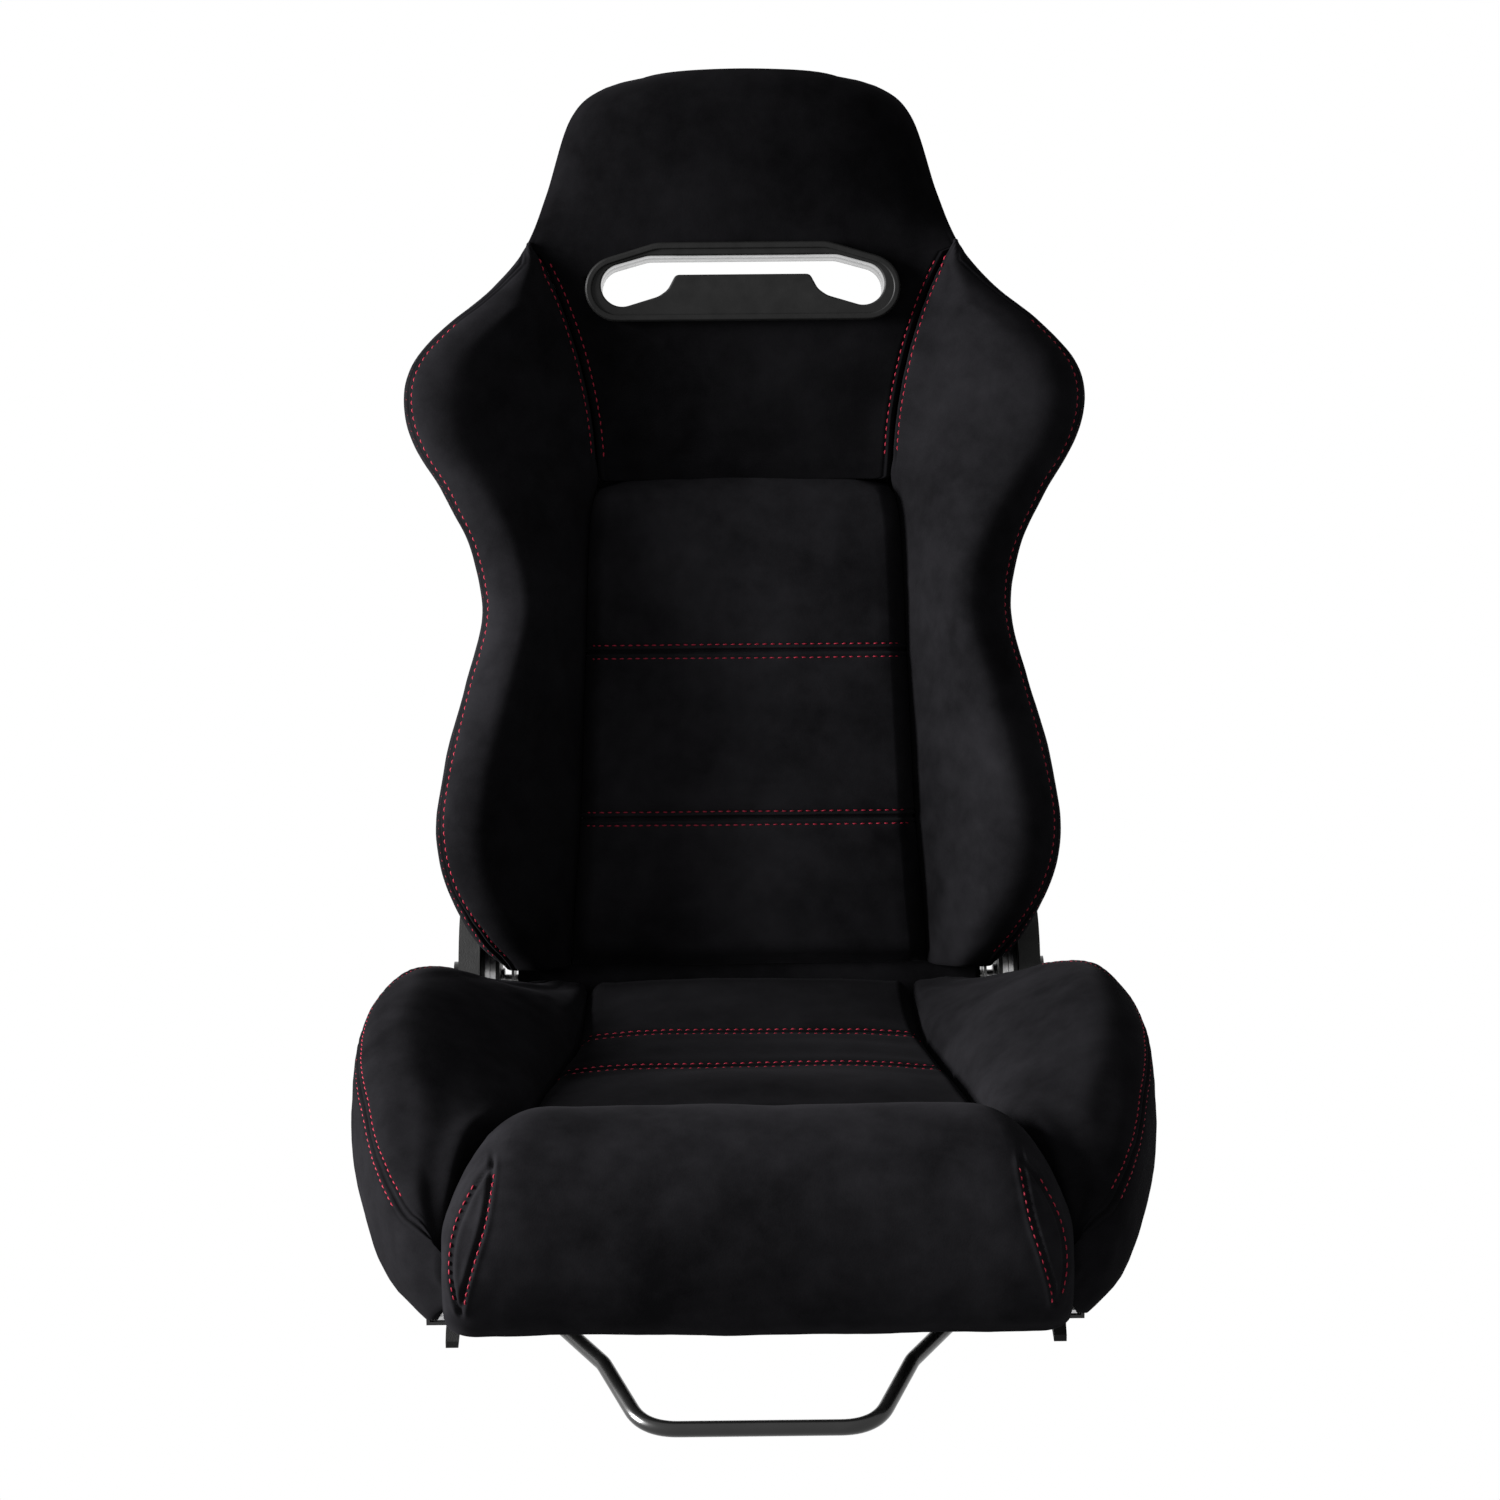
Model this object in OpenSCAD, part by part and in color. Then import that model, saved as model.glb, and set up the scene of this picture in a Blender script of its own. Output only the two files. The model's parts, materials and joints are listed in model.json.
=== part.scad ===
// Reclining sports seat on slide rails.
// Millimetres. +Z is up, the front of the seat faces -Y and +X is the seat's right as seen from the front.
// The origin is the middle of the four floor bolts, on the underside of the rails.

/* [Rails] */
// Distance between the centre lines of the two rails
rail_gauge = 430; // [420:2:440]
// Distance between the front and rear floor bolts
bolt_spacing = 300; // [280:5:310]
// Diameter of the floor bolt holes, for M8 bolts
bolt_hole_d = 8.6; // [8.2:0.1:9.4]

/* [Backrest] */
// Angle of the backrest from upright
back_tilt = 18; // [14:1:22]
// Height of the recline hinge above the floor
hinge_z = 137; // [135:1:139]
// Distance of the recline hinge behind the origin
hinge_y = 145; // [143:1:147]
// Height of the backrest, from the hinge to its top edge
back_height = 694; // [690:1:700]
// How far the side bolsters stand forward of the back panel
bolster_depth = 92; // [84:1:94]

/* [Harness slot] */
// Height of the slot's middle above the hinge, along the backrest
slot_height = 532; // [530:1:534]
// Overall width of the slot's bezel
bezel_w = 240; // [236:1:242]
// Overall height of the slot's bezel
bezel_h = 60; // [58:1:61]

/* [Seat base] */
// Half of the cushion's greatest width
base_half_w = 288; // [284:1:292]
// Diameter of the frame's main tubes
frame_tube_d = 20; // [18:1:22]
// Diameter of the release bar under the front edge
release_bar_d = 11; // [10:0.5:12]

/* [Hidden] */
$fn = 48;

// Clearance between soft pieces that lie side by side
seam_gap = 0.5;
// Clearance between pieces that move past each other
move_gap = 0.3;

// Rail section, measured from the rail's centre line and from the floor
rail_x = rail_gauge / 2;
rail_front = -168;
rail_rear = 200;
rail_w = 40;
rail_h = 24;
rail_wall = 2.5;
rail_lip = 10;
upper_front = -185;
upper_rear = 165;
upper_flange_w = 32;
upper_flange_z = 12.5;
upper_web_w = 14;
upper_top_z = 40.5;
roller_r = 4.7;
stop_w = 9;
stop_h = 10;
stop_front = -204;

// Latch: a slotted flange on the inner side of each lower rail, and a toothed lever above it
rack_w = 12;
rack_z = 14;
rack_x = rail_x - rail_w / 2 - rack_w / 2;
slot_len = 6;
tooth_len = 4;
tooth_depth = 3;
latch_pitch = 10;
rack_slots = 21;
rack_first = -155;
latch_y = 10;
latch_z = 20;
latch_plate = 8;
latch_teeth = [-65, -55, -45];
latch_front = -80;
latch_pin_r = 3;

// Positions across the seat of the plates and discs at the hinge, from the middle outward
bracket_x = 190;
bracket_t = 3;
moving_disc_x = bracket_x + bracket_t;
moving_disc_t = 4;
fixed_disc_x = moving_disc_x + moving_disc_t + move_gap;
side_plate_x = 201;
side_plate_t = 3;
cover_x = side_plate_x + side_plate_t;
cover_out_x = 220;
lever_x = cover_out_x + 0.8;
lever_t = 5;
spring_x = 177;
spring_w = 6;
hub_r = 10;
rod_r = 5;
disc_r = 36;

// Frame of the base
frame_r = frame_tube_d / 2;
front_tube_y = -255;
cross_tube_z = 78;
rear_tube_y = 108;
pan_z = 104;
pan_t = 2;

function lerp(a, b, t) = a + (b - a) * t;
function clamp01(t) = max(0, min(1, t));
function unit(v) = v / norm(v);

// A smooth curve through [position, value] pairs, level with its end values beyond them
function key_before(keys, p, i = 0) =
    i >= len(keys) - 2 || p <= keys[i + 1][0] ? i : key_before(keys, p, i + 1);
function key_slope(keys, i) =
    let (a = keys[max(i - 1, 0)], b = keys[min(i + 1, len(keys) - 1)]) (b[1] - a[1]) / (b[0] - a[0]);
function curve(keys, p) =
    let (
        q = max(keys[0][0], min(keys[len(keys) - 1][0], p)),
        i = key_before(keys, q),
        h = keys[i + 1][0] - keys[i][0],
        t = (q - keys[i][0]) / h
    )
    (2 * t ^ 3 - 3 * t ^ 2 + 1) * keys[i][1] + (t ^ 3 - 2 * t ^ 2 + t) * h * key_slope(keys, i)
    + (3 * t ^ 2 - 2 * t ^ 3) * keys[i + 1][1] + (t ^ 3 - t ^ 2) * h * key_slope(keys, i + 1);

// A point at fraction t along a smooth curve through a list of points
function spline(points, t) =
    let (
        s = t * (len(points) - 1),
        i = min(floor(s), len(points) - 2),
        f = s - i,
        p1 = points[i],
        p2 = points[i + 1],
        m1 = (p2 - points[max(i - 1, 0)]) / (i == 0 ? 1 : 2),
        m2 = (points[min(i + 2, len(points) - 1)] - p1) / (i == len(points) - 2 ? 1 : 2)
    )
    (2 * f ^ 3 - 3 * f ^ 2 + 1) * p1 + (f ^ 3 - 2 * f ^ 2 + f) * m1
    + (3 * f ^ 2 - 2 * f ^ 3) * p2 + (f ^ 3 - f ^ 2) * m2;
function resample(points, count) = [for (i = [0 : count]) spline(points, i / count)];

// A closed solid between two grids of points that have the same rows and columns
module thick_sheet(front, rear) {
    rows = len(front);
    cols = len(front[0]);
    size = rows * cols;
    points = concat([for (row = front, p = row) p], [for (row = rear, p = row) p]);
    front_faces = [
        for (i = [0 : rows - 2], j = [0 : cols - 2])
            let (a = i * cols + j, b = a + 1, c = a + cols + 1, d = a + cols)
                each [[a, b, c], [a, c, d]]
    ];
    rear_faces = [for (f = front_faces) [f[2] + size, f[1] + size, f[0] + size]];
    rim = concat(
        [for (j = [0 : cols - 2]) [j, j + 1]],
        [for (i = [0 : rows - 2]) [i * cols + cols - 1, (i + 1) * cols + cols - 1]],
        [for (j = [0 : cols - 2]) [size - 1 - j, size - 2 - j]],
        [for (i = [0 : rows - 2]) [(rows - 1 - i) * cols, (rows - 2 - i) * cols]]
    );
    rim_faces = [for (e = rim) each [[e[1], e[0], e[0] + size], [e[1], e[0] + size, e[1] + size]]];
    polyhedron(points = points, faces = concat(front_faces, rear_faces, rim_faces), convexity = 6);
}

// A path whose inner corners are rounded by the given radius
function rounded_path(points, radius, steps = 5) = [
    for (i = [0 : len(points) - 1])
        if (i == 0 || i == len(points) - 1) points[i]
        else
            let (
                to_last = unit(points[i - 1] - points[i]),
                to_next = unit(points[i + 1] - points[i]),
                half = acos(to_last * to_next) / 2,
                reach = min(
                    radius / tan(half),
                    norm(points[i - 1] - points[i]) * 0.45,
                    norm(points[i + 1] - points[i]) * 0.45
                ),
                a = points[i] + to_last * reach,
                b = points[i] + to_next * reach
            )
            each [for (k = [0 : steps]) let (t = k / steps)
                (1 - t) ^ 2 * a + 2 * t * (1 - t) * points[i] + t ^ 2 * b]
];

// A round or flat bar along a path; up is any direction that the path never follows
module swept_bar(path, radius, up, sides = 10, flat = 1) {
    last = len(path) - 1;
    rings = [
        for (i = [0 : last])
            let (
                along = unit(path[min(i + 1, last)] - path[max(i - 1, 0)]),
                across = unit(cross(along, up)),
                over = cross(across, along)
            )
            each [for (k = [0 : sides - 1]) let (a = 360 * (k + 0.5) / sides)
                path[i] + radius * (cos(a) * across + flat * sin(a) * over)]
    ];
    walls = [
        for (i = [0 : last - 1], k = [0 : sides - 1])
            let (a = i * sides + k, b = i * sides + (k + 1) % sides, c = b + sides, d = a + sides)
                each [[a, b, c], [a, c, d]]
    ];
    start_cap = [for (k = [0 : sides - 1]) sides - 1 - k];
    end_cap = [for (k = [0 : sides - 1]) last * sides + k];
    polyhedron(points = rings, faces = concat(walls, [start_cap, end_cap]), convexity = 8);
}

// The left-hand twin of a right-hand piece
module left() {
    mirror([1, 0, 0]) children();
}
module both_sides() {
    children();
    left() children();
}
// From the backrest's own axes, at the hinge, to the seat's
module in_back() {
    translate([0, hinge_y, hinge_z]) rotate([-back_tilt, 0, 0]) children();
}
// An outline drawn in the YZ plane, raised along +X from x
module plate(x, thickness) {
    translate([x, 0, 0]) rotate([90, 0, 90]) linear_extrude(thickness) children();
}

// ---- Slide rails, fixed to the floor ----

module lower_rail() {
    color("dimgray") difference() {
        union() {
            translate([rail_x - rail_w / 2, rail_front, 0])
                cube([rail_w, rail_rear - rail_front, rail_h]);
            translate([rack_x - rack_w / 2, rack_first - 10, rack_z - rail_wall])
                cube([rack_w, rack_slots * latch_pitch + 14, rail_wall]);
        }
        translate([rail_x - rail_w / 2 + rail_wall, rail_front - 1, rail_wall])
            cube([rail_w - 2 * rail_wall, rail_rear - rail_front + 2, rail_h - 2 * rail_wall]);
        translate([rail_x - rail_w / 2 + rail_lip, rail_front - 1, rail_wall])
            cube([rail_w - 2 * rail_lip, rail_rear - rail_front + 2, rail_h]);
        for (y = [-bolt_spacing / 2, bolt_spacing / 2])
            translate([rail_x, y, -1]) cylinder(d = bolt_hole_d, h = rail_wall + 2);
        for (i = [0 : rack_slots - 1])
            translate([rack_x - 3, rack_first + i * latch_pitch - slot_len / 2, rack_z - rail_wall - 1])
                cube([6, slot_len, rail_wall + 2]);
    }
}
module lower_rail_right() lower_rail();
module lower_rail_left() left() lower_rail();

// A slim bumper on the front end of each lower rail
module rail_stop() {
    color("black") translate([rail_x - stop_w / 2, 0, 0]) plate(0, stop_w)
        polygon([
            [rail_front, 0], [rail_front, stop_h], [stop_front + 8, stop_h],
            [stop_front, stop_h - 5], [stop_front, 0]
        ]);
}
module rail_stop_right() rail_stop();
module rail_stop_left() left() rail_stop();

// ---- Sliding base frame ----

module upper_rail() {
    web = 2.5;
    length = upper_rear - upper_front;
    color("silver") difference() {
        union() {
            translate([rail_x - upper_flange_w / 2, upper_front, upper_flange_z])
                cube([upper_flange_w, length, web]);
            translate([rail_x - upper_web_w / 2, upper_front, upper_flange_z])
                cube([upper_web_w, length, upper_top_z - upper_flange_z]);
        }
        translate([rail_x - upper_web_w / 2 + web, upper_front - 1, upper_flange_z - 1])
            cube([upper_web_w - 2 * web, length + 2, upper_top_z - upper_flange_z + 1 - web]);
        for (y = rail_bolt_rows)
            translate([rail_x, y, upper_top_z - web - 1]) cylinder(d = 8.4, h = web + 2);
    }
}
rail_bolt_rows = [-150, 130];
module upper_rail_right() upper_rail();
module upper_rail_left() left() upper_rail();

module rail_rollers() {
    color("ivory") both_sides()
        for (y = [-150, -60, 30, 120], x = [rail_x - 12.5, rail_x + 5])
            translate([x, y, rail_wall + move_gap / 2 + roller_r])
                rotate([0, 90, 0]) cylinder(r = roller_r, h = 7.5);
}

// The side plate stands on the upper rail and rises at the rear to hold the recliner
module side_plate() {
    foot_z = upper_top_z;
    color("dimgray") difference() {
        union() {
            plate(side_plate_x, side_plate_t) union() {
                polygon([
                    [-268, 62], [-262, 98], [-230, 104], [60, 104], [hinge_y - 40, hinge_z + 8],
                    [hinge_y + 40, hinge_z + 8], [hinge_y + 34, 70], [hinge_y + 20, foot_z],
                    [-200, foot_z], [-250, 52]
                ]);
                translate([hinge_y, hinge_z]) circle(r = disc_r + 5);
            }
            translate([side_plate_x, -190, foot_z]) cube([24, 350, side_plate_t]);
        }
        plate(side_plate_x - 1, side_plate_t + 2) {
            translate([hinge_y, hinge_z]) circle(r = rod_r + 1);
            for (y = [-200, -120, -40]) translate([y, 76]) circle(r = 12);
        }
        for (y = rail_bolt_rows)
            translate([rail_x, y, foot_z - 1]) cylinder(d = 8.4, h = side_plate_t + 2);
    }
}
module side_plate_right() side_plate();
module side_plate_left() left() side_plate();

module rail_bolts() {
    washer = 1.6;
    top = upper_top_z + side_plate_t;
    color("silver") both_sides() for (y = rail_bolt_rows) translate([rail_x, y, 0]) {
        translate([0, 0, top]) cylinder(r = 7.5, h = washer);
        translate([0, 0, top + washer]) cylinder(r = 7, h = 5.5, $fn = 6);
        translate([0, 0, upper_top_z - 6]) cylinder(r = 4, h = top + washer - upper_top_z + 6);
    }
}

module cross_tube(y) {
    wall = 2;
    color("dimgray") translate([-side_plate_x, y, cross_tube_z]) rotate([0, 90, 0]) difference() {
        cylinder(r = frame_r, h = 2 * side_plate_x);
        translate([0, 0, -1]) cylinder(r = frame_r - wall, h = 2 * side_plate_x + 2);
    }
}
module front_cross_tube() cross_tube(front_tube_y);
module rear_cross_tube() cross_tube(rear_tube_y);

// Pressed tray under the front of the cushion, open at the rear where the springs are
pan_front = -246;
pan_rear = -120;
module seat_pan() {
    flange = 14;
    color("dimgray") union() {
        translate([-side_plate_x, pan_front, pan_z - pan_t])
            cube([2 * side_plate_x, pan_rear - pan_front, pan_t]);
        translate([-side_plate_x, pan_rear - pan_t, pan_z - flange])
            cube([2 * side_plate_x, pan_t, flange]);
        for (x = [-120, -40, 40, 120])
            translate([x - 4, pan_front + 20, pan_z - 6]) cube([8, pan_rear - pan_front - 40, 6]);
    }
}

// Straight tension wires from side to side under the rear of the cushion
module seat_springs() {
    wire_r = 2;
    color("silver") for (y = [-95 : 38 : 57])
        translate([-side_plate_x, y, pan_z - 4]) rotate([0, 90, 0])
            cylinder(r = wire_r, h = 2 * side_plate_x, $fn = 24);
}

// Bracket and pin on which the latch lever and the release bar turn
module latch_pivot() {
    sheet = 3;
    inner = rack_x - latch_plate / 2 - 2 - sheet;
    color("silver") {
        plate(inner, sheet) polygon([
            [latch_y - 9, latch_z - 6], [latch_y - 12, upper_top_z],
            [latch_y + 12, upper_top_z], [latch_y + 9, latch_z - 6]
        ]);
        translate([inner + sheet, latch_y - 12, upper_top_z - sheet])
            cube([rail_x - upper_web_w / 2 - inner - sheet, 24, sheet]);
        translate([inner + sheet, latch_y, latch_z]) rotate([0, 90, 0])
            cylinder(r = latch_pin_r, h = latch_plate + 2.5);
    }
}
module latch_pivot_right() latch_pivot();
module latch_pivot_left() left() latch_pivot();

// ---- Base cushions: keys give a size at each distance behind the origin ----

// Height of the insert's middle, half width of the insert, half width of the seat, and heights of the
// bolster's ridge, inner seam and lower edge
insert_top = [[-188, 168], [-140, 164], [-75, 155], [0, 147], [60, 146], [116, 151]];
inner_edge = [[-345, 213], [-300, 212], [-240, 194], [-188, 166], [-75, 145], [6, 130], [88, 124]];
outer_edge = [
    [-308, base_half_w - 60], [-295, base_half_w - 36], [-260, base_half_w - 18], [-200, base_half_w - 5],
    [-140, base_half_w], [-60, base_half_w - 5], [20, base_half_w - 20], [62, base_half_w - 40],
    [84, base_half_w - 80], [110, base_half_w - 116]
];
ridge_top = [
    [-308, 128], [-285, 152], [-240, 182], [-170, 213], [-90, 229], [-20, 221], [40, 196],
    [86, 161], [110, 151]
];
seam_height = [[-308, 112], [-280, 150], [-240, 182], [-188, 176], [-75, 160], [6, 152], [110, 147]];
low_edge = [
    [-308, 84], [-285, 62], [-240, 54], [-120, 54], [-50, 66], [-5, 126], [30, 148], [80, 150], [110, 128]
];
cushion_base = 112;
bolster_front = -308;
bolster_rear = 110;
roll_rear = -188;
insert_rear = 116;

module seat_insert() {
    ys = [for (i = [0 : 8]) lerp(roll_rear + seam_gap, insert_rear, i / 8)];
    function half(y) = curve(inner_edge, y) - seam_gap;
    top = [for (y = ys) [for (u = [-1 : 0.25 : 1])
        [u * half(y), y, curve(insert_top, y) - 5 * u ^ 4]]];
    bottom = [for (y = ys) [for (u = [-1 : 0.25 : 1]) [u * half(y), y, cushion_base]]];
    color("#26262a") thick_sheet(top, bottom);
}

// A section of the bolster: xi and xo are its inner and outer sides, xr its ridge. The first line runs
// over the outside from the inner seam, the second along the hidden side, clear of the recliner cover
function bolster_over(y) =
    let (
        xi = curve(inner_edge, y) + seam_gap,
        xo = curve(outer_edge, y),
        zi = curve(seam_height, y),
        zr = curve(ridge_top, y),
        zb = curve(low_edge, y),
        xr = max(lerp(xi, xo, 0.55), xo - 40)
    )
    resample([
        [xi, y, zi], [lerp(xi, xr, 0.5), y, lerp(zi, zr, 0.62)], [xr, y, zr],
        [lerp(xr, xo, 0.75), y, lerp(zr, zb, 0.13)], [xo, y, lerp(zr, zb, 0.45)],
        [xo - 8, y, lerp(zr, zb, 0.8)], [min(lerp(xo, side_plate_x, 0.5), xo - 12), y, zb]
    ], 10);
function bolster_under(y) =
    let (
        xi = curve(inner_edge, y) + seam_gap,
        xo = curve(outer_edge, y),
        zi = curve(seam_height, y),
        zb = curve(low_edge, y),
        clear = min(max(cover_x + 6, xi), xo - 18),
        low = min(lerp(xo, side_plate_x, 0.62), xo - 14),
        top = max(cushion_base, min(zb + 10, cushion_base + 46, zi - 6))
    )
    resample([
        [xi, y, cushion_base], [min(lerp(xi, clear, 0.8), 170), y, cushion_base], [clear, y, top],
        [clear + min(4, (low - clear) / 2), y, max(zb + 2, lerp(top, zb, 0.5))], [low, y, zb]
    ], 10);
module seat_bolster() {
    ys = [for (i = [0 : 16]) lerp(bolster_front, bolster_rear, i / 16)];
    color("#26262a") thick_sheet([for (y = ys) bolster_over(y)], [for (y = ys) bolster_under(y)]);
}
module seat_bolster_right() seat_bolster();
module seat_bolster_left() left() seat_bolster();

// The front roll: its outline from the rear seam, over the top and down the front
roll_over = [
    [roll_rear, 168], [-205, 186], [-232, 198], [-264, 200], [-300, 187],
    [-330, 158], [-343, 120], [-338, 86], [-320, 66]
];
roll_fall = 45;
roll_straight = 0.72;
roll_under = [[roll_rear, cushion_base], [-215, cushion_base], [-242, 110], [-272, 96], [-276, 74], [-290, 66]];
module thigh_roll() {
    over = resample(roll_over, 14);
    under = resample(roll_under, 14);
    function half(y) = curve(inner_edge, y) - seam_gap;
    // The roll's top falls away toward its rounded ends
    function drop(u) = roll_fall * max(0, (abs(u) - roll_straight) / (1 - roll_straight)) ^ 2.6;
    function row(line, u) = [for (p = line)
        [u * half(p[0]), p[0], p[1] - drop(u) * clamp01((p[1] - cushion_base) / 80)]];
    spread = [-1, -0.95, -0.88, -0.78, -0.4, 0, 0.4, 0.78, 0.88, 0.95, 1];
    color("#26262a") thick_sheet([for (u = spread) row(over, u)], [for (u = spread) row(under, u)]);
}

// ---- Recliner ----

// A ring around the hinge axis
module ring(x, thickness, outer, inner) {
    plate(x, thickness) translate([hinge_y, hinge_z]) difference() {
        circle(r = outer);
        circle(r = inner);
    }
}
// Fixed half of the recliner with the hub that the backrest turns on
module recliner_disc_fixed() {
    color("silver") union() {
        ring(fixed_disc_x, side_plate_x - fixed_disc_x, disc_r, rod_r + 0.5);
        ring(bracket_x - 3, fixed_disc_x - bracket_x + 3, hub_r, rod_r + 0.5);
    }
}
module recliner_disc_fixed_right() recliner_disc_fixed();
module recliner_disc_fixed_left() left() recliner_disc_fixed();

// Moulded cover over the outside of the recliner, open toward the side plate
module cover_outline(inset) {
    translate([hinge_y, hinge_z]) circle(r = 57 - inset);
    polygon([
        [hinge_y - 50 + inset, 62 + inset], [hinge_y - 52 + inset, hinge_z],
        [hinge_y + 52 - inset, hinge_z], [hinge_y + 46 - inset, 62 + inset]
    ]);
}
module recliner_cover() {
    wall = 2.5;
    color("#3a3a3d") difference() {
        plate(cover_x, cover_out_x - cover_x) cover_outline(0);
        plate(cover_x - 1, cover_out_x - cover_x - wall + 1) cover_outline(wall);
        plate(cover_x, cover_out_x - cover_x + 1)
            translate([hinge_y, hinge_z]) circle(r = rod_r + 2);
    }
}
module recliner_cover_right() recliner_cover();
module recliner_cover_left() left() recliner_cover();

module cover_screws() {
    color("silver") both_sides() for (p = [[hinge_y - 34, 80], [hinge_y + 30, 80]])
        translate([cover_out_x, p[0], p[1]]) rotate([0, 90, 0]) difference() {
            cylinder(r = 4.5, h = 2.2);
            translate([0, 0, 1]) cylinder(r = 2, h = 2, $fn = 6);
        }
}

// Flat spiral spring around the hub, from the backrest to the side plate
module recline_spring() {
    turns = 3;
    steps = 14;
    spiral = [for (k = [0 : turns * steps])
        let (a = 360 * k / steps, r = lerp(12, 29, k / (turns * steps)))
            [spring_x + spring_w / 2, hinge_y + r * cos(a), hinge_z + r * sin(a)]];
    color("silver") swept_bar(spiral, spring_w / 2, [1, 0, 0], 4, 0.5);
}
module recline_spring_right() recline_spring();
module recline_spring_left() left() recline_spring();

// ---- Backrest: x across, y rearward and z up the back, from the hinge ----

// Half width of the whole back, of its upper middle and of the insert, then the distances of the surfaces
// from the hinge plane, at each height: forward is negative
back_outline = [
    [0, 166], [25, 196], [55, 217], [90, 232], [125, 236], [170, 228], [230, 212], [282, 200],
    [330, 207], [372, 227], [410, 249], [440, 256], [470, 248], [500, 222], [530, 187], [560, 163],
    [600, 147], [645, 132], [668, 119], [684, 98], [back_height, 66]
];
upper_seam = [[384, 111], [430, 115], [478, 125], [520, 139], [553, 154]];
insert_half = [[14, 136], [127, 127], [254, 122], [350, 118], [384, 112]];
insert_depth = [[0, -32], [60, -42], [120, -46], [250, -38], [384, -26]];
head_depth = [[384, -20], [470, -17], [532, -19], [600, -25], [650, -34], [back_height, -24]];
foam_rear = [[0, -16], [30, -4], [60, 8], [560, 8], [600, 2], [650, -6], [back_height, -12]];
shell_rear = [
    [0, 46], [120, 52], [250, 54], [400, 48], [500, 38], [560, 32], [600, 27], [650, 15], [back_height, -1]
];
// How much of its full depth the bolster has at each height, and where its outer side ends
bolster_share = [
    [14, 0.4], [60, 0.86], [120, 1], [200, 0.98], [282, 0.8], [350, 0.78], [440, 0.86],
    [500, 0.56], [535, 0.22], [552, 0.05]
];
side_rear = [[0, -68], [50, -54], [100, -24], [150, 4], [180, 8], [220, 38], [400, 33], [500, 23], [552, 18]];
insert_low = 14;
insert_high = 382;
head_low = 386;
bolster_high = 550;

module back_insert() {
    zs = [for (i = [0 : 10]) lerp(insert_low, insert_high, i / 10)];
    spread = [-1, -0.9, -0.6, -0.2, 0.2, 0.6, 0.9, 1];
    function half(z) = curve(insert_half, z) - seam_gap;
    front = [for (z = zs) [for (u = spread)
        [u * half(z), curve(insert_depth, z) - 8 * (1 - u ^ 4), z]]];
    rear = [for (z = zs) [for (u = spread) [u * half(z), curve(foam_rear, z), z]]];
    color("#26262a") in_back() thick_sheet(rear, front);
}

function inner_seam(z) = z < head_low ? curve(insert_half, z) : curve(upper_seam, z);
function seam_front(z) = z < head_low ? curve(insert_depth, z) : curve(head_depth, z);
function ridge_front(z) = seam_front(z) - bolster_depth * curve(bolster_share, z) * 0.9;
// The rear of the bolster's outer side keeps clear of the recliner and at least 20 behind the ridge
function side_back(z) = max(curve(side_rear, z), ridge_front(z) + 20);
function back_bolster_over(z) =
    let (
        xi = inner_seam(z) + seam_gap,
        xo = curve(back_outline, z),
        ys = seam_front(z),
        yr = ridge_front(z),
        yb = side_back(z),
        xr = max(lerp(xi, xo, 0.5), xo - 38)
    )
    resample([
        [xi, ys, z], [lerp(xi, xr, 0.5), lerp(ys, yr, 0.62), z], [xr, yr, z],
        [lerp(xr, xo, 0.75), lerp(yr, yb, 0.12), z], [xo, lerp(yr, yb, 0.45), z],
        [xo - 2, lerp(yr, yb, 0.8), z], [lerp(xr, xo, 0.6), yb, z]
    ], 10);
function back_bolster_under(z) =
    let (
        xi = inner_seam(z) + seam_gap,
        xo = curve(back_outline, z),
        xr = max(lerp(xi, xo, 0.5), xo - 38),
        yb = side_back(z),
        yc = min(curve(foam_rear, z), yb + 40),
        edge = lerp(xr, xo, 0.6)
    )
    resample([
        [xi, yc, z], [lerp(xi, min(164, edge - 4), 0.5), yc, z], [min(164, edge - 4), yc, z],
        [min(172, edge - 2), lerp(yc, yb, 0.9), z], [edge, yb, z]
    ], 10);
module back_bolster() {
    zs = [for (i = [0 : 18]) lerp(insert_low, bolster_high, i / 18)];
    color("#26262a") in_back()
        thick_sheet([for (z = zs) back_bolster_under(z)], [for (z = zs) back_bolster_over(z)]);
}
module back_bolster_right() back_bolster();
module back_bolster_left() left() back_bolster();

// The head pad's surfaces at height z, with u from 0 in the middle to 1 at its side edges
function head_front(z, u) =
    curve(head_depth, z) + clamp01((z - 540) / 40) * 26 * abs(u) ^ 7 + clamp01((z - 540) / 60) * 8 * u ^ 2;
function head_rear(z, u) = max(curve(foam_rear, z), head_front(z, u) + 10);
module head_pad() {
    zs = [
        each [for (i = [0 : 8]) lerp(head_low, bolster_high + 1, i / 8)],
        each [for (i = [0 : 6]) lerp(bolster_high + 7, back_height, i / 6)]
    ];
    spread = [-1, -0.96, -0.84, -0.6, -0.3, 0, 0.3, 0.6, 0.84, 0.96, 1];
    function half(z) = z > bolster_high + 1 ? curve(back_outline, z) : curve(upper_seam, z) - seam_gap;
    front = [for (z = zs) [for (u = spread) [u * half(z), head_front(z, u), z]]];
    rear = [for (z = zs) [for (u = spread) [u * half(z), head_rear(z, u), z]]];
    color("#26262a") in_back() difference() {
        thick_sheet(rear, front);
        translate([0, 60, slot_height]) rotate([90, 0, 0])
            linear_extrude(120) slot_outline(bezel_lip - 0.5);
    }
}

// Curved closing strip around the hinge axis, behind the rear of the base cushions
module back_apron() {
    outer = 27.5;
    thickness = 3;
    half_width = 172;
    top = insert_low - seam_gap;
    color("#26262a") in_back() plate(-half_width, 2 * half_width) difference() {
        intersection() {
            circle(r = outer);
            polygon([[0, 0], [-30, top], [-60, top], [-60, -60], [-15, -60]]);
        }
        circle(r = outer - thickness);
    }
}

// ---- Harness slot ----

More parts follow.
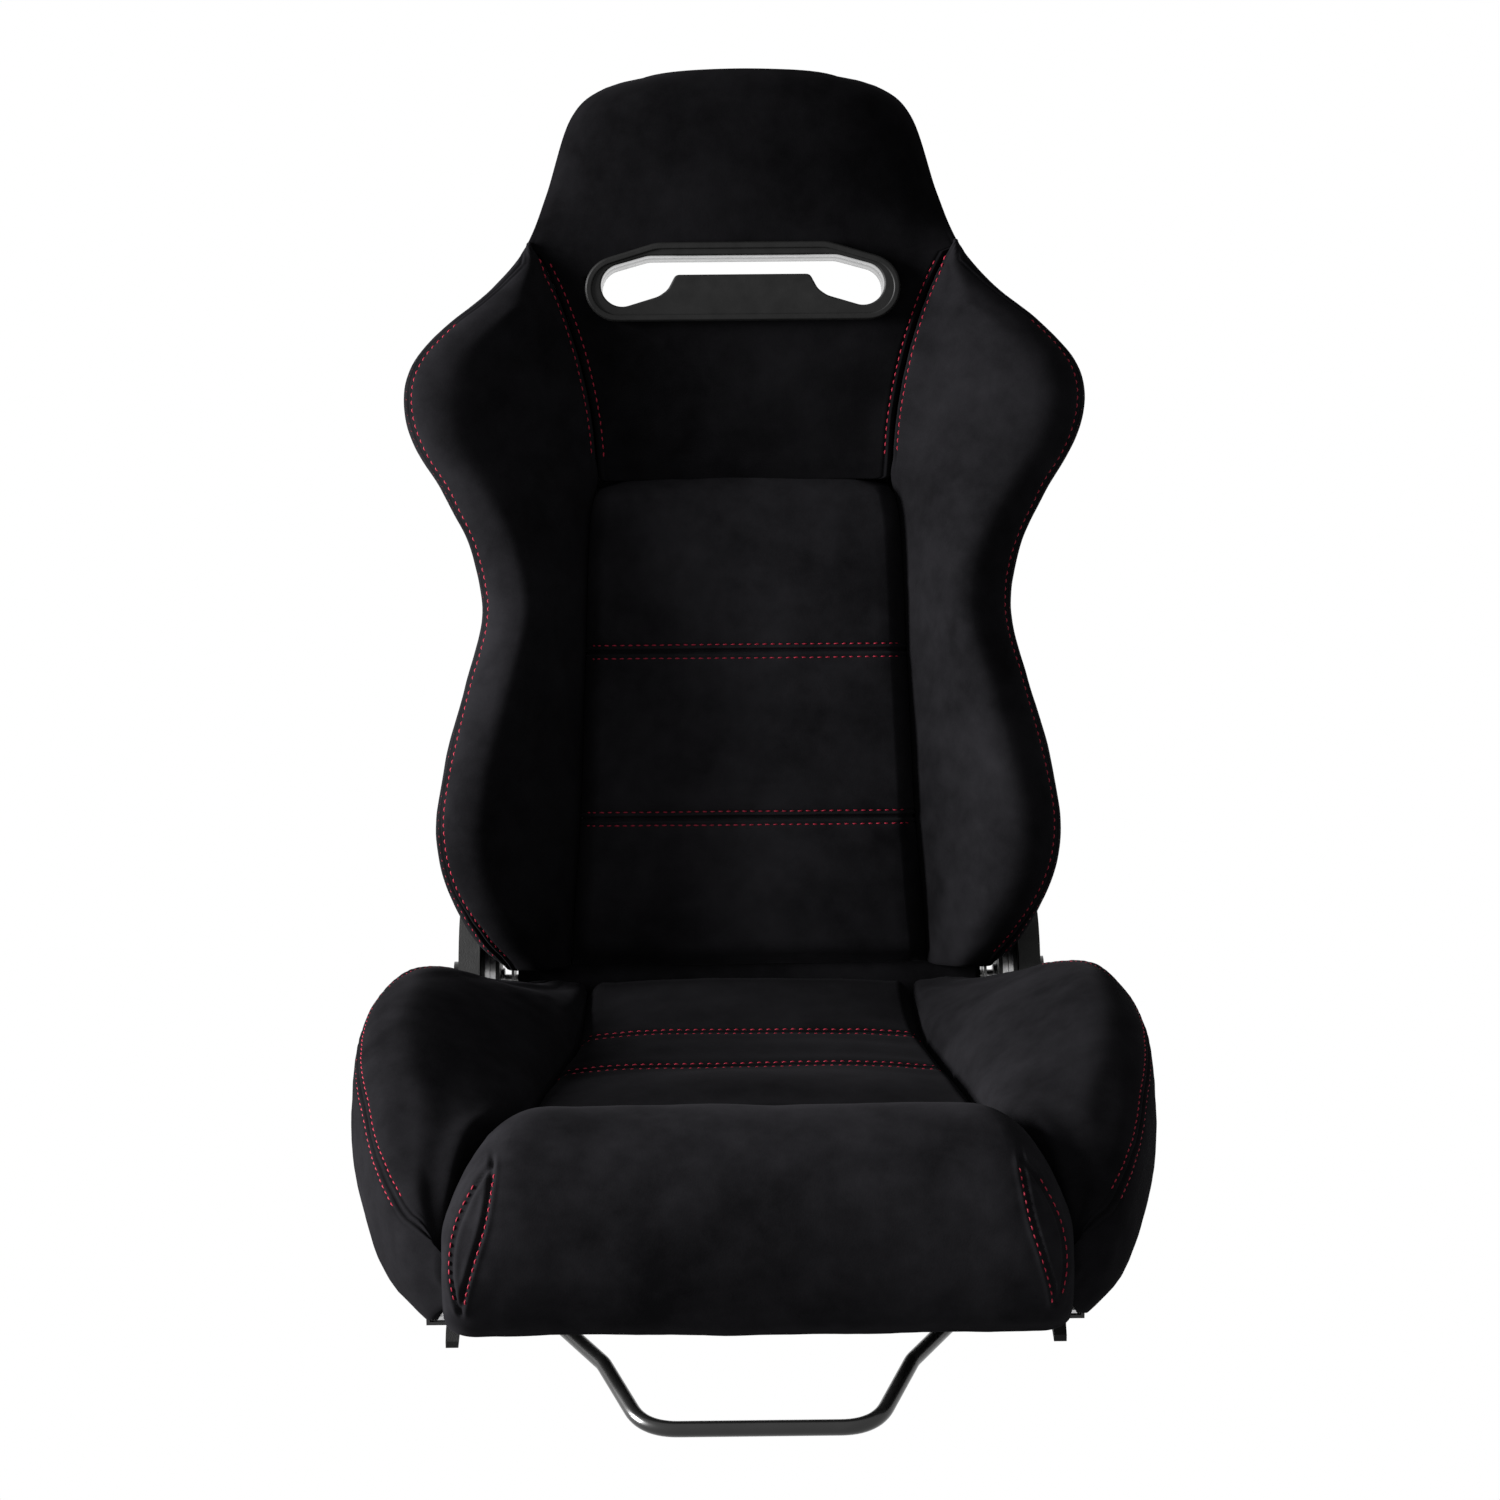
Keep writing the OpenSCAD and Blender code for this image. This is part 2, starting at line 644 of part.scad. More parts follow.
bezel_lip = 4;
bezel_split = 4;
bezel_front_y = -26.5;
bezel_rear_y = 41.5;
end_r = 25;
end_x = bezel_w / 2 - end_r;
end_z = -bezel_h / 2 + end_r;

// Outer outline of the bezel: flat below, a flat crown above and round ends
module slot_outline(inset) {
    for (s = [-1, 1]) translate([s * end_x, end_z]) circle(r = end_r - inset);
    polygon([
        [-65, bezel_h / 2 - inset], [65, bezel_h / 2 - inset],
        [end_x + 6.5, end_z + end_r - 0.9 - inset], [end_x, -bezel_h / 2 + inset],
        [-end_x, -bezel_h / 2 + inset], [-end_x - 6.5, end_z + end_r - 0.9 - inset]
    ]);
}
// The opening: two round lobes joined above a raised tongue
module slot_opening() {
    lobe_r = 16.3;
    lobe_x = 91.5;
    lobe_z = -2.3;
    top = 17.4;
    for (s = [-1, 1]) translate([s * lobe_x, lobe_z]) circle(r = lobe_r);
    polygon([
        [-72, top], [72, top], [lobe_x + 3, lobe_z + lobe_r - 0.3], [lobe_x - 3, lobe_z - lobe_r + 0.3],
        [64, -11], [57, -6], [51, 5.3], [-51, 5.3], [-57, -6], [-64, -11],
        [-lobe_x + 3, lobe_z - lobe_r + 0.3], [-lobe_x - 3, lobe_z + lobe_r - 0.3]
    ]);
}
module bezel_half(flange_y, flange_t, sleeve_y, sleeve_len) {
    color("#1c1c1e") in_back() translate([0, 0, slot_height]) rotate([90, 0, 0]) difference() {
        union() {
            translate([0, 0, -flange_y - flange_t]) linear_extrude(flange_t) slot_outline(0);
            translate([0, 0, -sleeve_y - sleeve_len]) linear_extrude(sleeve_len) slot_outline(bezel_lip);
        }
        translate([0, 0, -100]) linear_extrude(200) slot_opening();
    }
}
module slot_bezel_front() {
    bezel_half(bezel_front_y, 4, bezel_front_y + 4, bezel_split - bezel_front_y - 4);
}
module slot_bezel_rear() {
    bezel_half(bezel_rear_y - 3, 3, bezel_split, bezel_rear_y - 3 - bezel_split);
}
module bezel_screws() {
    color("silver") in_back() for (x = [-80, 80])
        translate([x, bezel_rear_y, slot_height - bezel_h / 2 + 5.5]) rotate([-90, 0, 0]) difference() {
            cylinder(r = 3.5, h = 1.6);
            translate([0, 0, 0.8]) cylinder(r = 1.6, h = 2, $fn = 6);
        }
}

// ---- Backrest frame ----

module back_bracket() {
    socket = 2 * frame_r;
    color("dimgray") in_back() difference() {
        union() {
            plate(bracket_x, bracket_t) union() {
                circle(r = disc_r - 2);
                polygon([
                    [-30, 8], [0, 45], [hoop_y - 14, 80], [hoop_y - 14, socket_high + 6],
                    [hoop_y + 14, socket_high + 6], [hoop_y + 14, 60], [32, 0]
                ]);
            }
            translate([bracket_x - socket, hoop_y - frame_r, socket_low])
                cube([socket, socket, socket_high - socket_low]);
        }
        plate(bracket_x - 1, bracket_t + 2) circle(r = hub_r + 0.15);
    }
}
hoop_y = 22;
socket_low = 62;
socket_high = 128;
module back_bracket_right() back_bracket();
module back_bracket_left() left() back_bracket();

module recliner_disc_moving() {
    color("silver") in_back() plate(moving_disc_x, moving_disc_t) difference() {
        circle(r = disc_r - 2);
        circle(r = hub_r + 0.15);
    }
}
module recliner_disc_moving_right() recliner_disc_moving();
module recliner_disc_moving_left() left() recliner_disc_moving();

module bracket_bolts() {
    color("silver") in_back() both_sides() for (z = [78, 112])
        translate([bracket_x + bracket_t, hoop_y, z]) rotate([0, 90, 0]) cylinder(r = 6, h = 4, $fn = 6);
}

// Main tube of the backrest, from one bracket over the shoulders to the other
module back_frame_hoop() {
    side = [
        [bracket_x - frame_r, hoop_y, socket_high], [bracket_x - frame_r, hoop_y, 142],
        [154, hoop_y, 190], [150, hoop_y, 330], [152, hoop_y, 478]
    ];
    path = rounded_path(concat(side, [for (i = [len(side) - 1 : -1 : 0])
        [-side[i][0], side[i][1], side[i][2]]]), 45);
    color("dimgray") in_back() swept_bar(path, frame_r, [0, 1, 0], 12);
}
// Lighter tube that carries the head section around the harness slot
module head_hoop() {
    tube_r = 5.5;
    side = [[140, 20, 478 + frame_r], [140, 17, 560], [92, 6, 644]];
    path = rounded_path(concat(side, [for (i = [2 : -1 : 0])
        [-side[i][0], side[i][1], side[i][2]]]), 40);
    color("dimgray") in_back() swept_bar(path, tube_r, [0, 1, 0], 10);
}
module back_springs() {
    wire_r = 1.8;
    reach = 138;
    color("silver") in_back() for (z = [210 : 50 : 410])
        translate([-reach, hoop_y, z]) rotate([0, 90, 0]) cylinder(r = wire_r, h = 2 * reach, $fn = 24);
}

// Thin moulded shell over the rear of the backrest
shell_low = 72;
module back_shell() {
    wall = 3;
    zs = [for (i = [0 : 20]) lerp(shell_low, back_height - 4, i / 20)];
    spread = [-1, -0.95, -0.8, -0.5, 0, 0.5, 0.8, 0.95, 1];
    function half(z) = curve(back_outline, z) - 9;
    function over_pad(z, u) = z > bolster_high
        ? head_rear(z, u * half(z) / curve(back_outline, z)) + wall + 7 : curve(foam_rear, z);
    function depth(z, u) = max(curve(shell_rear, z) - 10 * u ^ 6, over_pad(z, u));
    outer = [for (z = zs) [for (u = spread) [u * half(z), depth(z, u), z]]];
    inner = [for (z = zs) [for (u = spread) [u * (half(z) - 1), depth(z, u) - wall, z]]];
    color("#202022") in_back() difference() {
        thick_sheet(outer, inner);
        translate([0, 80, slot_height]) rotate([90, 0, 0])
            linear_extrude(100) slot_outline(bezel_lip - 0.5);
    }
}

// ---- Recline levers ----

module sync_rod() {
    color("silver") translate([-lever_x - lever_t, hinge_y, hinge_z]) rotate([0, 90, 0])
        cylinder(r = rod_r, h = 2 * (lever_x + lever_t));
}
lever_drop = 30;
lever_reach = 112;
module on_lever() {
    translate([0, hinge_y, hinge_z]) rotate([lever_drop, 0, 0]) children();
}
module recline_lever() {
    color("#202022") on_lever() difference() {
        plate(lever_x, lever_t) {
            circle(r = 15);
            polygon([[-5, 14], [-50, 7], [-lever_reach, 7], [-lever_reach, -7], [-50, -7], [-5, -14]]);
        }
        translate([lever_x - 1, 0, 0]) rotate([0, 90, 0]) cylinder(r = rod_r + 0.1, h = lever_t + 2);
    }
}
module recline_lever_right() recline_lever();
module recline_lever_left() left() recline_lever();
module lever_grip() {
    color("black") on_lever() difference() {
        translate([lever_x + lever_t / 2, 44 - lever_reach, 0]) rotate([90, 0, 0])
            linear_extrude(56) scale([0.55, 1]) circle(r = 11);
        translate([lever_x, -lever_reach, -7]) cube([lever_t, 52, 14]);
    }
}
module lever_grip_right() lever_grip();
module lever_grip_left() left() lever_grip();

// ---- Slide release ----

module towel_bar() {
    bar_r = release_bar_d / 2;
    side = [
        [rack_x, latch_front, 21], [rack_x, latch_front - 40, 21],
        [146, -215, 31], [106, -294, 32], [78, -368, 20]
    ];
    path = rounded_path(concat(side, [for (i = [len(side) - 1 : -1 : 0])
        [-side[i][0], side[i][1], side[i][2]]]), 34);
    color("black") swept_bar(path, bar_r, [0, 0, 1], 12);
}
module latch_lever() {
    color("silver") union() {
        plate(rack_x - latch_plate / 2, latch_plate) difference() {
            union() {
                translate([latch_y, latch_z]) circle(r = 5.8);
                polygon([
                    [latch_y, latch_z - 4.5], [latch_front, rack_z + 1],
                    [latch_front, latch_z + 8], [latch_y, latch_z + 7]
                ]);
            }
            translate([latch_y, latch_z]) circle(r = latch_pin_r + 0.1);
        }
        for (y = latch_teeth)
            translate([rack_x - 2.4, y - tooth_len / 2, rack_z - tooth_depth])
                cube([4.8, tooth_len, tooth_depth + 4]);
    }
}
module latch_lever_right() latch_lever();
module latch_lever_left() left() latch_lever();

// Small coil spring that presses each latch lever down
module latch_spring() {
    turns = 4;
    steps = 8;
    low = latch_z + 8.3;
    high = upper_top_z - 3.3;
    coil = [for (k = [0 : turns * steps])
        let (a = 360 * k / steps)
            [rack_x + 2.6 * cos(a), latch_y - 22 + 2.6 * sin(a), lerp(low, high, k / (turns * steps))]];
    color("silver") swept_bar(coil, 0.6, [0, 0, 1], 5);
}
module latch_spring_right() latch_spring();
module latch_spring_left() left() latch_spring();

lower_rail_left();
lower_rail_right();
rail_stop_left();
rail_stop_right();
upper_rail_left();
upper_rail_right();
rail_rollers();
rail_bolts();
side_plate_left();
side_plate_right();
front_cross_tube();
rear_cross_tube();
seat_pan();
seat_springs();
latch_pivot_left();
latch_pivot_right();
seat_insert();
seat_bolster_left();
seat_bolster_right();
thigh_roll();
recliner_disc_fixed_left();
recliner_disc_fixed_right();
recliner_cover_left();
recliner_cover_right();
cover_screws();
recline_spring_left();
recline_spring_right();
back_bracket_left();
back_bracket_right();
recliner_disc_moving_left();
recliner_disc_moving_right();
bracket_bolts();
back_frame_hoop();
head_hoop();
back_springs();
back_shell();
head_pad();
back_bolster_left();
back_bolster_right();
back_insert();
back_apron();
slot_bezel_front();
slot_bezel_rear();
bezel_screws();
sync_rod();
recline_lever_left();
recline_lever_right();
lever_grip_left();
lever_grip_right();
towel_bar();
latch_lever_left();
latch_lever_right();
latch_spring_left();
latch_spring_right();
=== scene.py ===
"""Looks for the reclining sports seat: suede cushions, red stitching, plastics and metals."""

import json
import math

import bmesh
import bpy
import numpy as np
from mathutils import Matrix, Vector, noise
from mathutils.bvhtree import BVHTree

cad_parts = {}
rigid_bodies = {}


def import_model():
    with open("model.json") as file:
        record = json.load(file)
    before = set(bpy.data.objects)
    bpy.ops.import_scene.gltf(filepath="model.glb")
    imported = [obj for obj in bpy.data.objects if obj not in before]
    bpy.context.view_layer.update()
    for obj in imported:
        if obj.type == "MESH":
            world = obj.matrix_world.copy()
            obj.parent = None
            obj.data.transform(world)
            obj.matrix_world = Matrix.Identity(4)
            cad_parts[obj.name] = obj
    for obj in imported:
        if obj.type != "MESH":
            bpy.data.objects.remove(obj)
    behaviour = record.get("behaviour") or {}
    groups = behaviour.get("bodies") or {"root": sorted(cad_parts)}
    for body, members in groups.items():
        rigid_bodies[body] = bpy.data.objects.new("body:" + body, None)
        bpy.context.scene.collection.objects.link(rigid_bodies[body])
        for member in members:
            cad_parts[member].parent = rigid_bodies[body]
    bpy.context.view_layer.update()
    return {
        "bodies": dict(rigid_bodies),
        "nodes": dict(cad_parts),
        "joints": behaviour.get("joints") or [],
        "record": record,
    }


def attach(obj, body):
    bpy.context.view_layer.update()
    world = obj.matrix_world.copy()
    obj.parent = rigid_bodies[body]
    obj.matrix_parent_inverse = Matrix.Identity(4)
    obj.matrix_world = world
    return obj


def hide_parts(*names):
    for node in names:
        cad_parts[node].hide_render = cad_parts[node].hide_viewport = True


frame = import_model()

MM = 0.001
JOINTS = {j["name"]: j for j in frame["joints"]}
HINGE = np.array(JOINTS["recline"]["pos_m"]) / MM
TILT = math.radians(18)


# ---- Numbers along a curve ----

def cubic(t, a, b, slope_a, slope_b):
    """From a at t = 0 to b at t = 1, with those slopes at its ends."""
    return (
        (2 * t**3 - 3 * t**2 + 1) * a
        + (t**3 - 2 * t**2 + t) * slope_a
        + (3 * t**2 - 2 * t**3) * b
        + (t**3 - t**2) * slope_b
    )


def curve(keys, p):
    """A smooth line through (position, value) keys, level beyond its ends."""
    k = np.array(keys, float)
    x, y = k[:, 0], k[:, 1]
    slope = np.empty(len(x))
    slope[1:-1] = (y[2:] - y[:-2]) / (x[2:] - x[:-2])
    slope[0] = (y[1] - y[0]) / (x[1] - x[0])
    slope[-1] = (y[-1] - y[-2]) / (x[-1] - x[-2])
    p = np.clip(np.asarray(p, float), x[0], x[-1])
    i = np.clip(np.searchsorted(x, p, side="right") - 1, 0, len(x) - 2)
    h = x[i + 1] - x[i]
    return cubic((p - x[i]) / h, y[i], y[i + 1], h * slope[i], h * slope[i + 1])


def mix(a, b, t):
    return a + (b - a) * t


def smooth(lo, hi, v):
    """0 up to lo, 1 from hi on, and a soft rise between them."""
    t = np.clip((np.asarray(v, float) - lo) / (hi - lo), 0, 1)
    return t * t * (3 - 2 * t)


def bump(v, width):
    """1 at v = 0, falling to nothing within about twice the width."""
    return np.exp(-((np.asarray(v, float) / width) ** 2))


def spline_points(control, count=260):
    """Many points on a smooth curve through the control points."""
    c = np.array(control, float)
    t = np.linspace(0, len(c) - 1, count)
    i = np.clip(t.astype(int), 0, len(c) - 2)
    f = (t - i)[:, None]
    before = c[np.maximum(i - 1, 0)]
    after = c[np.minimum(i + 2, len(c) - 1)]
    m1 = (c[i + 1] - before) / np.where(i == 0, 1, 2)[:, None]
    m2 = (after - c[i]) / np.where(i == len(c) - 2, 1, 2)[:, None]
    return cubic(f, c[i], c[i + 1], m1, m2)


def lengths(points):
    return np.concatenate([[0], np.cumsum(np.linalg.norm(np.diff(points, axis=0), axis=1))])


def values_at(values, s, wanted):
    """Rows of values, known at the distances s, at the wanted distances."""
    return np.stack([np.interp(wanted, s, values[:, k]) for k in range(values.shape[1])], axis=1)


def at_lengths(points, wanted):
    return values_at(points, lengths(points), wanted)


def evenly(points, count):
    """The line through the points as count points with equal steps."""
    return at_lengths(points, np.linspace(0, lengths(points)[-1], count))


# Distance of each stitch row from its seam, and the grid lines around a seam, in mm
ROW = 5.0
SEAM_STEPS = [
    -11, -8.5, -6.8, -5.8, -5, -4.2, -3.2, -2.2, -1.2, 0, 1.2, 2.2, 3.2, 4.2, 5, 5.8, 6.8, 8.5, 11,
]
SEAM_REACH = SEAM_STEPS[-1]
HALF_SEAM = [d for d in SEAM_STEPS if d >= 0]


def seam_profile(s, depth, row=ROW):
    """Height of the cloth beside a twin-stitched seam, at distance s from the seam."""
    return (
        -depth * bump(s, 1.5)
        + 0.7 * bump(np.abs(s) - row * 0.5, 1.6)
        - 0.8 * bump(np.abs(s) - row, 0.9)
    )


def around_seams(total, seams):
    """Distances from 0 to total, 6 mm apart, with the fine steps of each seam among them."""
    step = 6.0
    fine = sorted({round(float(s + d), 4) for s in seams for d in SEAM_STEPS if 0 <= s + d <= total})
    coarse = [
        v for v in np.linspace(0, total, max(2, int(total / step)) + 1)
        if all(abs(v - f) > step * 0.45 for f in fine)
    ]
    ends = [v for v in (0.0, total) if all(abs(v - f) > 1e-6 for f in fine + coarse)]
    return np.array(sorted(fine + list(coarse) + ends))


# ---- Places ----

def in_back(p):
    """From the backrest's axes (x across, y rearward, z up from the hinge) to the row frame, in mm."""
    p = np.asarray(p, float)
    y = HINGE[1] + p[..., 1] * math.cos(TILT) + p[..., 2] * math.sin(TILT)
    z = HINGE[2] - p[..., 1] * math.sin(TILT) + p[..., 2] * math.cos(TILT)
    return np.stack([p[..., 0], y, z], axis=-1)


def on_side(place, side):
    """The placement as it is for the right side (1), mirrored for the left side (-1)."""
    return place if side > 0 else lambda p: place(p) * np.array([-1.0, 1.0, 1.0])


# ---- Mesh making ----

def linked(name, data):
    obj = bpy.data.objects.new(name, data)
    bpy.context.scene.collection.objects.link(obj)
    return obj


def new_object(name, verts, faces, material):
    mesh = bpy.data.meshes.new(name)
    mesh.from_pydata([tuple(v) for v in np.asarray(verts, float) * MM], [], [tuple(f) for f in faces])
    mesh.validate()
    mesh.update()
    mesh.materials.append(material)
    mesh.polygons.foreach_set("use_smooth", [True] * len(mesh.polygons))
    return linked(name, mesh)


def outward(obj):
    """Turns every face outward."""
    bm = bmesh.new()
    bm.from_mesh(obj.data)
    bmesh.ops.recalc_face_normals(bm, faces=bm.faces)
    bm.to_mesh(obj.data)
    bm.free()
    return obj


def loft_faces(rows, cols, base=0):
    """Faces between rows of closed rings; base is the number of the first point."""
    faces = []
    for i in range(rows - 1):
        for j in range(cols):
            k = (j + 1) % cols
            faces.append((base + i * cols + j, base + i * cols + k,
                          base + (i + 1) * cols + k, base + (i + 1) * cols + j))
    return faces


def loft(name, rings, material):
    """A closed solid through a stack of rings, each a closed loop with the same count of points."""
    rings = np.asarray(rings, float)
    rows, cols = rings.shape[:2]
    verts = rings.reshape(-1, 3)
    faces = loft_faces(rows, cols)
    start, end = len(verts), len(verts) + 1
    verts = np.vstack([verts, rings[0].mean(0), rings[-1].mean(0)])
    for j in range(cols):
        k = (j + 1) % cols
        faces.append((start, k, j))
        faces.append((end, (rows - 1) * cols + j, (rows - 1) * cols + k))
    return outward(new_object(name, verts, faces, material))


def rounded_ends(rings, reach, count=5):
    """Adds rings that close a loft with a round edge: each end shrinks to its middle over the reach."""
    rings = [np.asarray(r, float) for r in rings]
    out = []
    for end, inner in ((rings[0], rings[1]), (rings[-1], rings[-2])):
        middle = end.mean(0)
        direction = end.mean(0) - inner.mean(0)
        direction = direction / (np.linalg.norm(direction) + 1e-9)
        radius = np.linalg.norm(end - middle, axis=1).mean()
        caps = []
        for k in range(1, count + 1):
            a = k / count * math.pi / 2
            shrink = 1 - min(reach / max(radius, 1e-6), 0.9) * (1 - math.cos(a))
            caps.append(middle + (end - middle) * shrink + direction * reach * 0.55 * math.sin(a))
        out.append(caps)
    return out[0][::-1] + rings + out[1]


def apply_modifiers(obj):
    bpy.context.view_layer.update()
    deps = bpy.context.evaluated_depsgraph_get()
    mesh = bpy.data.meshes.new_from_object(obj.evaluated_get(deps))
    obj.modifiers.clear()
    obj.data = mesh


# ---- Materials ----

class Nodes:
    """A short way to build a material's node tree."""

    def __init__(self, name):
        self.material = bpy.data.materials.new(name)
        self.material.use_nodes = True
        self.tree = self.material.node_tree
        self.shader = self.tree.nodes["Principled BSDF"]
        self.place = self.add("ShaderNodeTexCoord").outputs["Object"]

    def add(self, kind, **inputs):
        node = self.tree.nodes.new(kind)
        for key, value in inputs.items():
            self.feed(node, key.replace("_", " "), value)
        return node

    def feed(self, node, socket, value):
        target = node.inputs[socket]
        if isinstance(value, bpy.types.NodeSocket):
            self.tree.links.new(value, target)
        else:
            target.default_value = value

    def set(self, **inputs):
        for key, value in inputs.items():
            self.feed(self.shader, key.replace("_", " "), value)

    def noise(self, scale, detail=3.0, roughness=0.55, where=None):
        node = self.add("ShaderNodeTexNoise", Vector=where or self.place, Scale=scale,
                        Detail=detail, Roughness=roughness)
        return node.outputs["Fac"]

    def mapped(self, **inputs):
        return self.add("ShaderNodeMapping", Vector=self.place, **inputs).outputs["Vector"]

    def ramp(self, fac, stops):
        node = self.add("ShaderNodeValToRGB", Fac=fac)
        for k, (at, colour) in enumerate(stops):
            element = node.color_ramp.elements[k] if k < 2 else node.color_ramp.elements.new(at)
            element.position = at
            element.color = (*colour, 1)
        return node.outputs["Color"]

    def between(self, fac, low, high):
        return self.add("ShaderNodeMapRange", Value=fac, To_Min=low, To_Max=high).outputs["Result"]

    def math(self, operation, a, b):
        node = self.add("ShaderNodeMath")
        node.operation = operation
        self.feed(node, 0, a)
        self.feed(node, 1, b)
        return node.outputs[0]

    def bump(self, *layers):
        """Stacks (height, strength, distance in metres) layers into one normal."""
        normal = None
        for height, strength, distance in layers:
            node = self.add("ShaderNodeBump", Height=height, Strength=strength, Distance=distance)
            if normal is not None:
                self.feed(node, "Normal", normal)
            normal = node.outputs["Normal"]
        self.feed(self.shader, "Normal", normal)


def grey(v, tint=(1, 1, 1)):
    return tuple(v * t for t in tint)


def suede_material(name, dark, light, seed=0.0):
    """Black microsuede: a short nap that is brushed lighter and darker in soft patches."""
    m = Nodes(name)
    where = m.mapped(Location=(seed, seed * 0.7, 0.0))
    patches = m.noise(11.0, 4.0, 0.6, where)
    strokes = m.noise(48.0, 3.0, 0.6, where)
    fibres = m.noise(900.0, 2.0, 0.6, where)
    blend = m.math("ADD", m.math("MULTIPLY", patches, 0.62), m.math("MULTIPLY", strokes, 0.26))
    blend = m.math("ADD", blend, m.math("MULTIPLY", fibres, 0.12))
    tint = (1.0, 0.97, 1.1)
    m.set(Base_Color=m.ramp(blend, [(0.36, grey(dark, tint)), (0.66, grey(light, tint))]))
    m.set(Roughness=0.95, Sheen_Weight=0.006, Sheen_Roughness=0.45, Sheen_Tint=(0.7, 0.68, 0.75, 1.0))
    m.set(IOR=1.03)
    m.bump((strokes, 0.16, 0.0012), (fibres, 0.22, 0.0003))
    return m.material


def thread_material():
    m = Nodes("red_thread")
    twist = m.noise(2600.0, 2.0, 0.6)
    m.set(Base_Color=m.ramp(twist, [(0.3, (0.075, 0.0015, 0.006)), (0.7, (0.16, 0.006, 0.018))]))
    m.set(Roughness=0.6, Specular_IOR_Level=0.1)
    m.bump((twist, 0.4, 0.0002))
    return m.material


def plastic_material(name, dark, light, roughness, grain_scale, grain, ior=1.2):
    m = Nodes(name)
    cells = m.add("ShaderNodeTexVoronoi", Vector=m.place, Scale=grain_scale)
    scuffs = m.noise(60.0, 5.0, 0.7)
    m.set(Base_Color=m.ramp(scuffs, [(0.3, grey(dark)), (0.75, grey(light))]))
    m.set(Roughness=m.between(scuffs, roughness - 0.06, roughness + 0.1))
    m.set(IOR=ior)
    m.bump((cells.outputs["Distance"], grain, 0.0004), (scuffs, 0.05, 0.0005))
    return m.material


def paint_material(name, colour, roughness, coat):
    m = Nodes(name)
    orange_peel = m.noise(420.0, 2.0, 0.5)
    dust = m.noise(35.0, 6.0, 0.7)
    m.set(Base_Color=m.ramp(dust, [(0.35, grey(colour)), (0.8, grey(colour * 1.8))]))
    m.set(Roughness=m.between(dust, roughness, roughness + 0.12))
    m.set(Coat_Weight=coat, Coat_Roughness=0.12, Specular_IOR_Level=0.3)
    m.bump((orange_peel, 0.08, 0.0003))
    return m.material


def metal_material(name, dark, light, roughness):
    m = Nodes(name)
    brushed = m.noise(90.0, 4.0, 0.6, m.mapped(Scale=(1.0, 14.0, 14.0)))
    spangle = m.noise(160.0, 3.0, 0.6)
    cool, warm = grey(dark, (1.0, 1.0, 1.03)), grey(light, (1.03, 1.02, 1.0))
    m.set(Base_Color=m.ramp(spangle, [(0.3, cool), (0.7, warm)]))
    m.set(Metallic=1.0)
    m.set(Roughness=m.between(brushed, roughness - 0.08, roughness + 0.14))
    m.bump((brushed, 0.12, 0.0002))
    return m.material


SUEDE = suede_material("suede_body", 0.0016, 0.0042)
# Painted light: the body suede made lighter, for the back insert and the thigh roll
SUEDE_PAINTED_LIGHT = suede_material("suede_painted_light", 0.0022, 0.006, seed=3.0)
# Painted shade: the body suede made darker, for the head, the seat insert and the closing flaps
SUEDE_PAINTED_SHADE = suede_material("suede_painted_shade", 0.001, 0.0027, seed=7.0)
THREAD = thread_material()
BEZEL = plastic_material("bezel_plastic", 0.002, 0.004, 0.5, 1400.0, 0.08)
SLEEVE = plastic_material("bezel_sleeve", 0.004, 0.01, 0.14, 900.0, 0.02, ior=1.6)
COVER = plastic_material("cover_plastic", 0.008, 0.013, 0.6, 900.0, 0.3)
SHELL = plastic_material("shell_plastic", 0.004, 0.008, 0.55, 700.0, 0.35)
SOFT_PLASTIC = plastic_material("soft_plastic", 0.003, 0.006, 0.7, 1100.0, 0.3)
GLOSS = paint_material("gloss_paint", 0.002, 0.25, 0.3)
FRAME_PAINT = paint_material("frame_paint", 0.004, 0.45, 0.05)
ZINC = metal_material("zinc_plate", 0.42, 0.62, 0.3)
SPRING = metal_material("spring_wire", 0.12, 0.22, 0.4)
NYLON = plastic_material("nylon", 0.55, 0.68, 0.5, 800.0, 0.1)

CAD_LOOKS = {
    "frame_paint": FRAME_PAINT, "zinc_steel": ZINC, "spring_steel": SPRING, "nylon": NYLON,
    "soft_plastic": SOFT_PLASTIC, "cover_plastic": COVER, "bezel_plastic": BEZEL,
    "gloss_paint": GLOSS, "microsuede": SUEDE,
}
for part in frame["record"]["subparts"]:
    looks = CAD_LOOKS[part["material_slot"]]
    shown = frame["nodes"][part["node"]]
    shown.data.materials.clear()
    shown.data.materials.append(looks)


# ---- Cushions: a grid of points over the seen side, closed by a plain hidden side ----

# Half the gap between two neighbouring cushions
PANEL_GAP = 0.15


def surface_normals(over, under):
    """Directions out of the cushion at each point of its seen grid."""
    n = np.cross(np.gradient(over, axis=1), np.gradient(over, axis=0))
    n /= np.linalg.norm(n, axis=-1, keepdims=True) + 1e-9
    return n if np.sum(n * (over - under.mean((0, 1)))) > 0 else -n


def level(points, at):
    """A flat section's points, with the section's own place as their third number."""
    return np.column_stack([points, np.full(len(points), at)])


def shown_in_row(grid, normals, height, place):
    """The seen grid raised by its seams and slack, and its normals, both in the row frame."""
    return place(grid + normals * height[..., None]), place(normals) - place(np.zeros(3))


def along(grid, axis):
    """Distance along each line of the grid, from its first point."""
    steps = np.linalg.norm(np.diff(grid, axis=axis), axis=-1)
    first = np.zeros_like(np.take(steps, [0], axis))
    return np.concatenate([first, np.cumsum(steps, axis=axis)], axis=axis)


def ripple(points, size, seed):
    """Noise from -1 to 1 with features of about that size, in mm; size may differ for x, y and z."""
    flat = (points / np.asarray(size, float)).reshape(-1, 3) + seed * 7.31
    values = [noise.noise(Vector(p)) for p in flat]
    return np.array(values).reshape(points.shape[:-1])


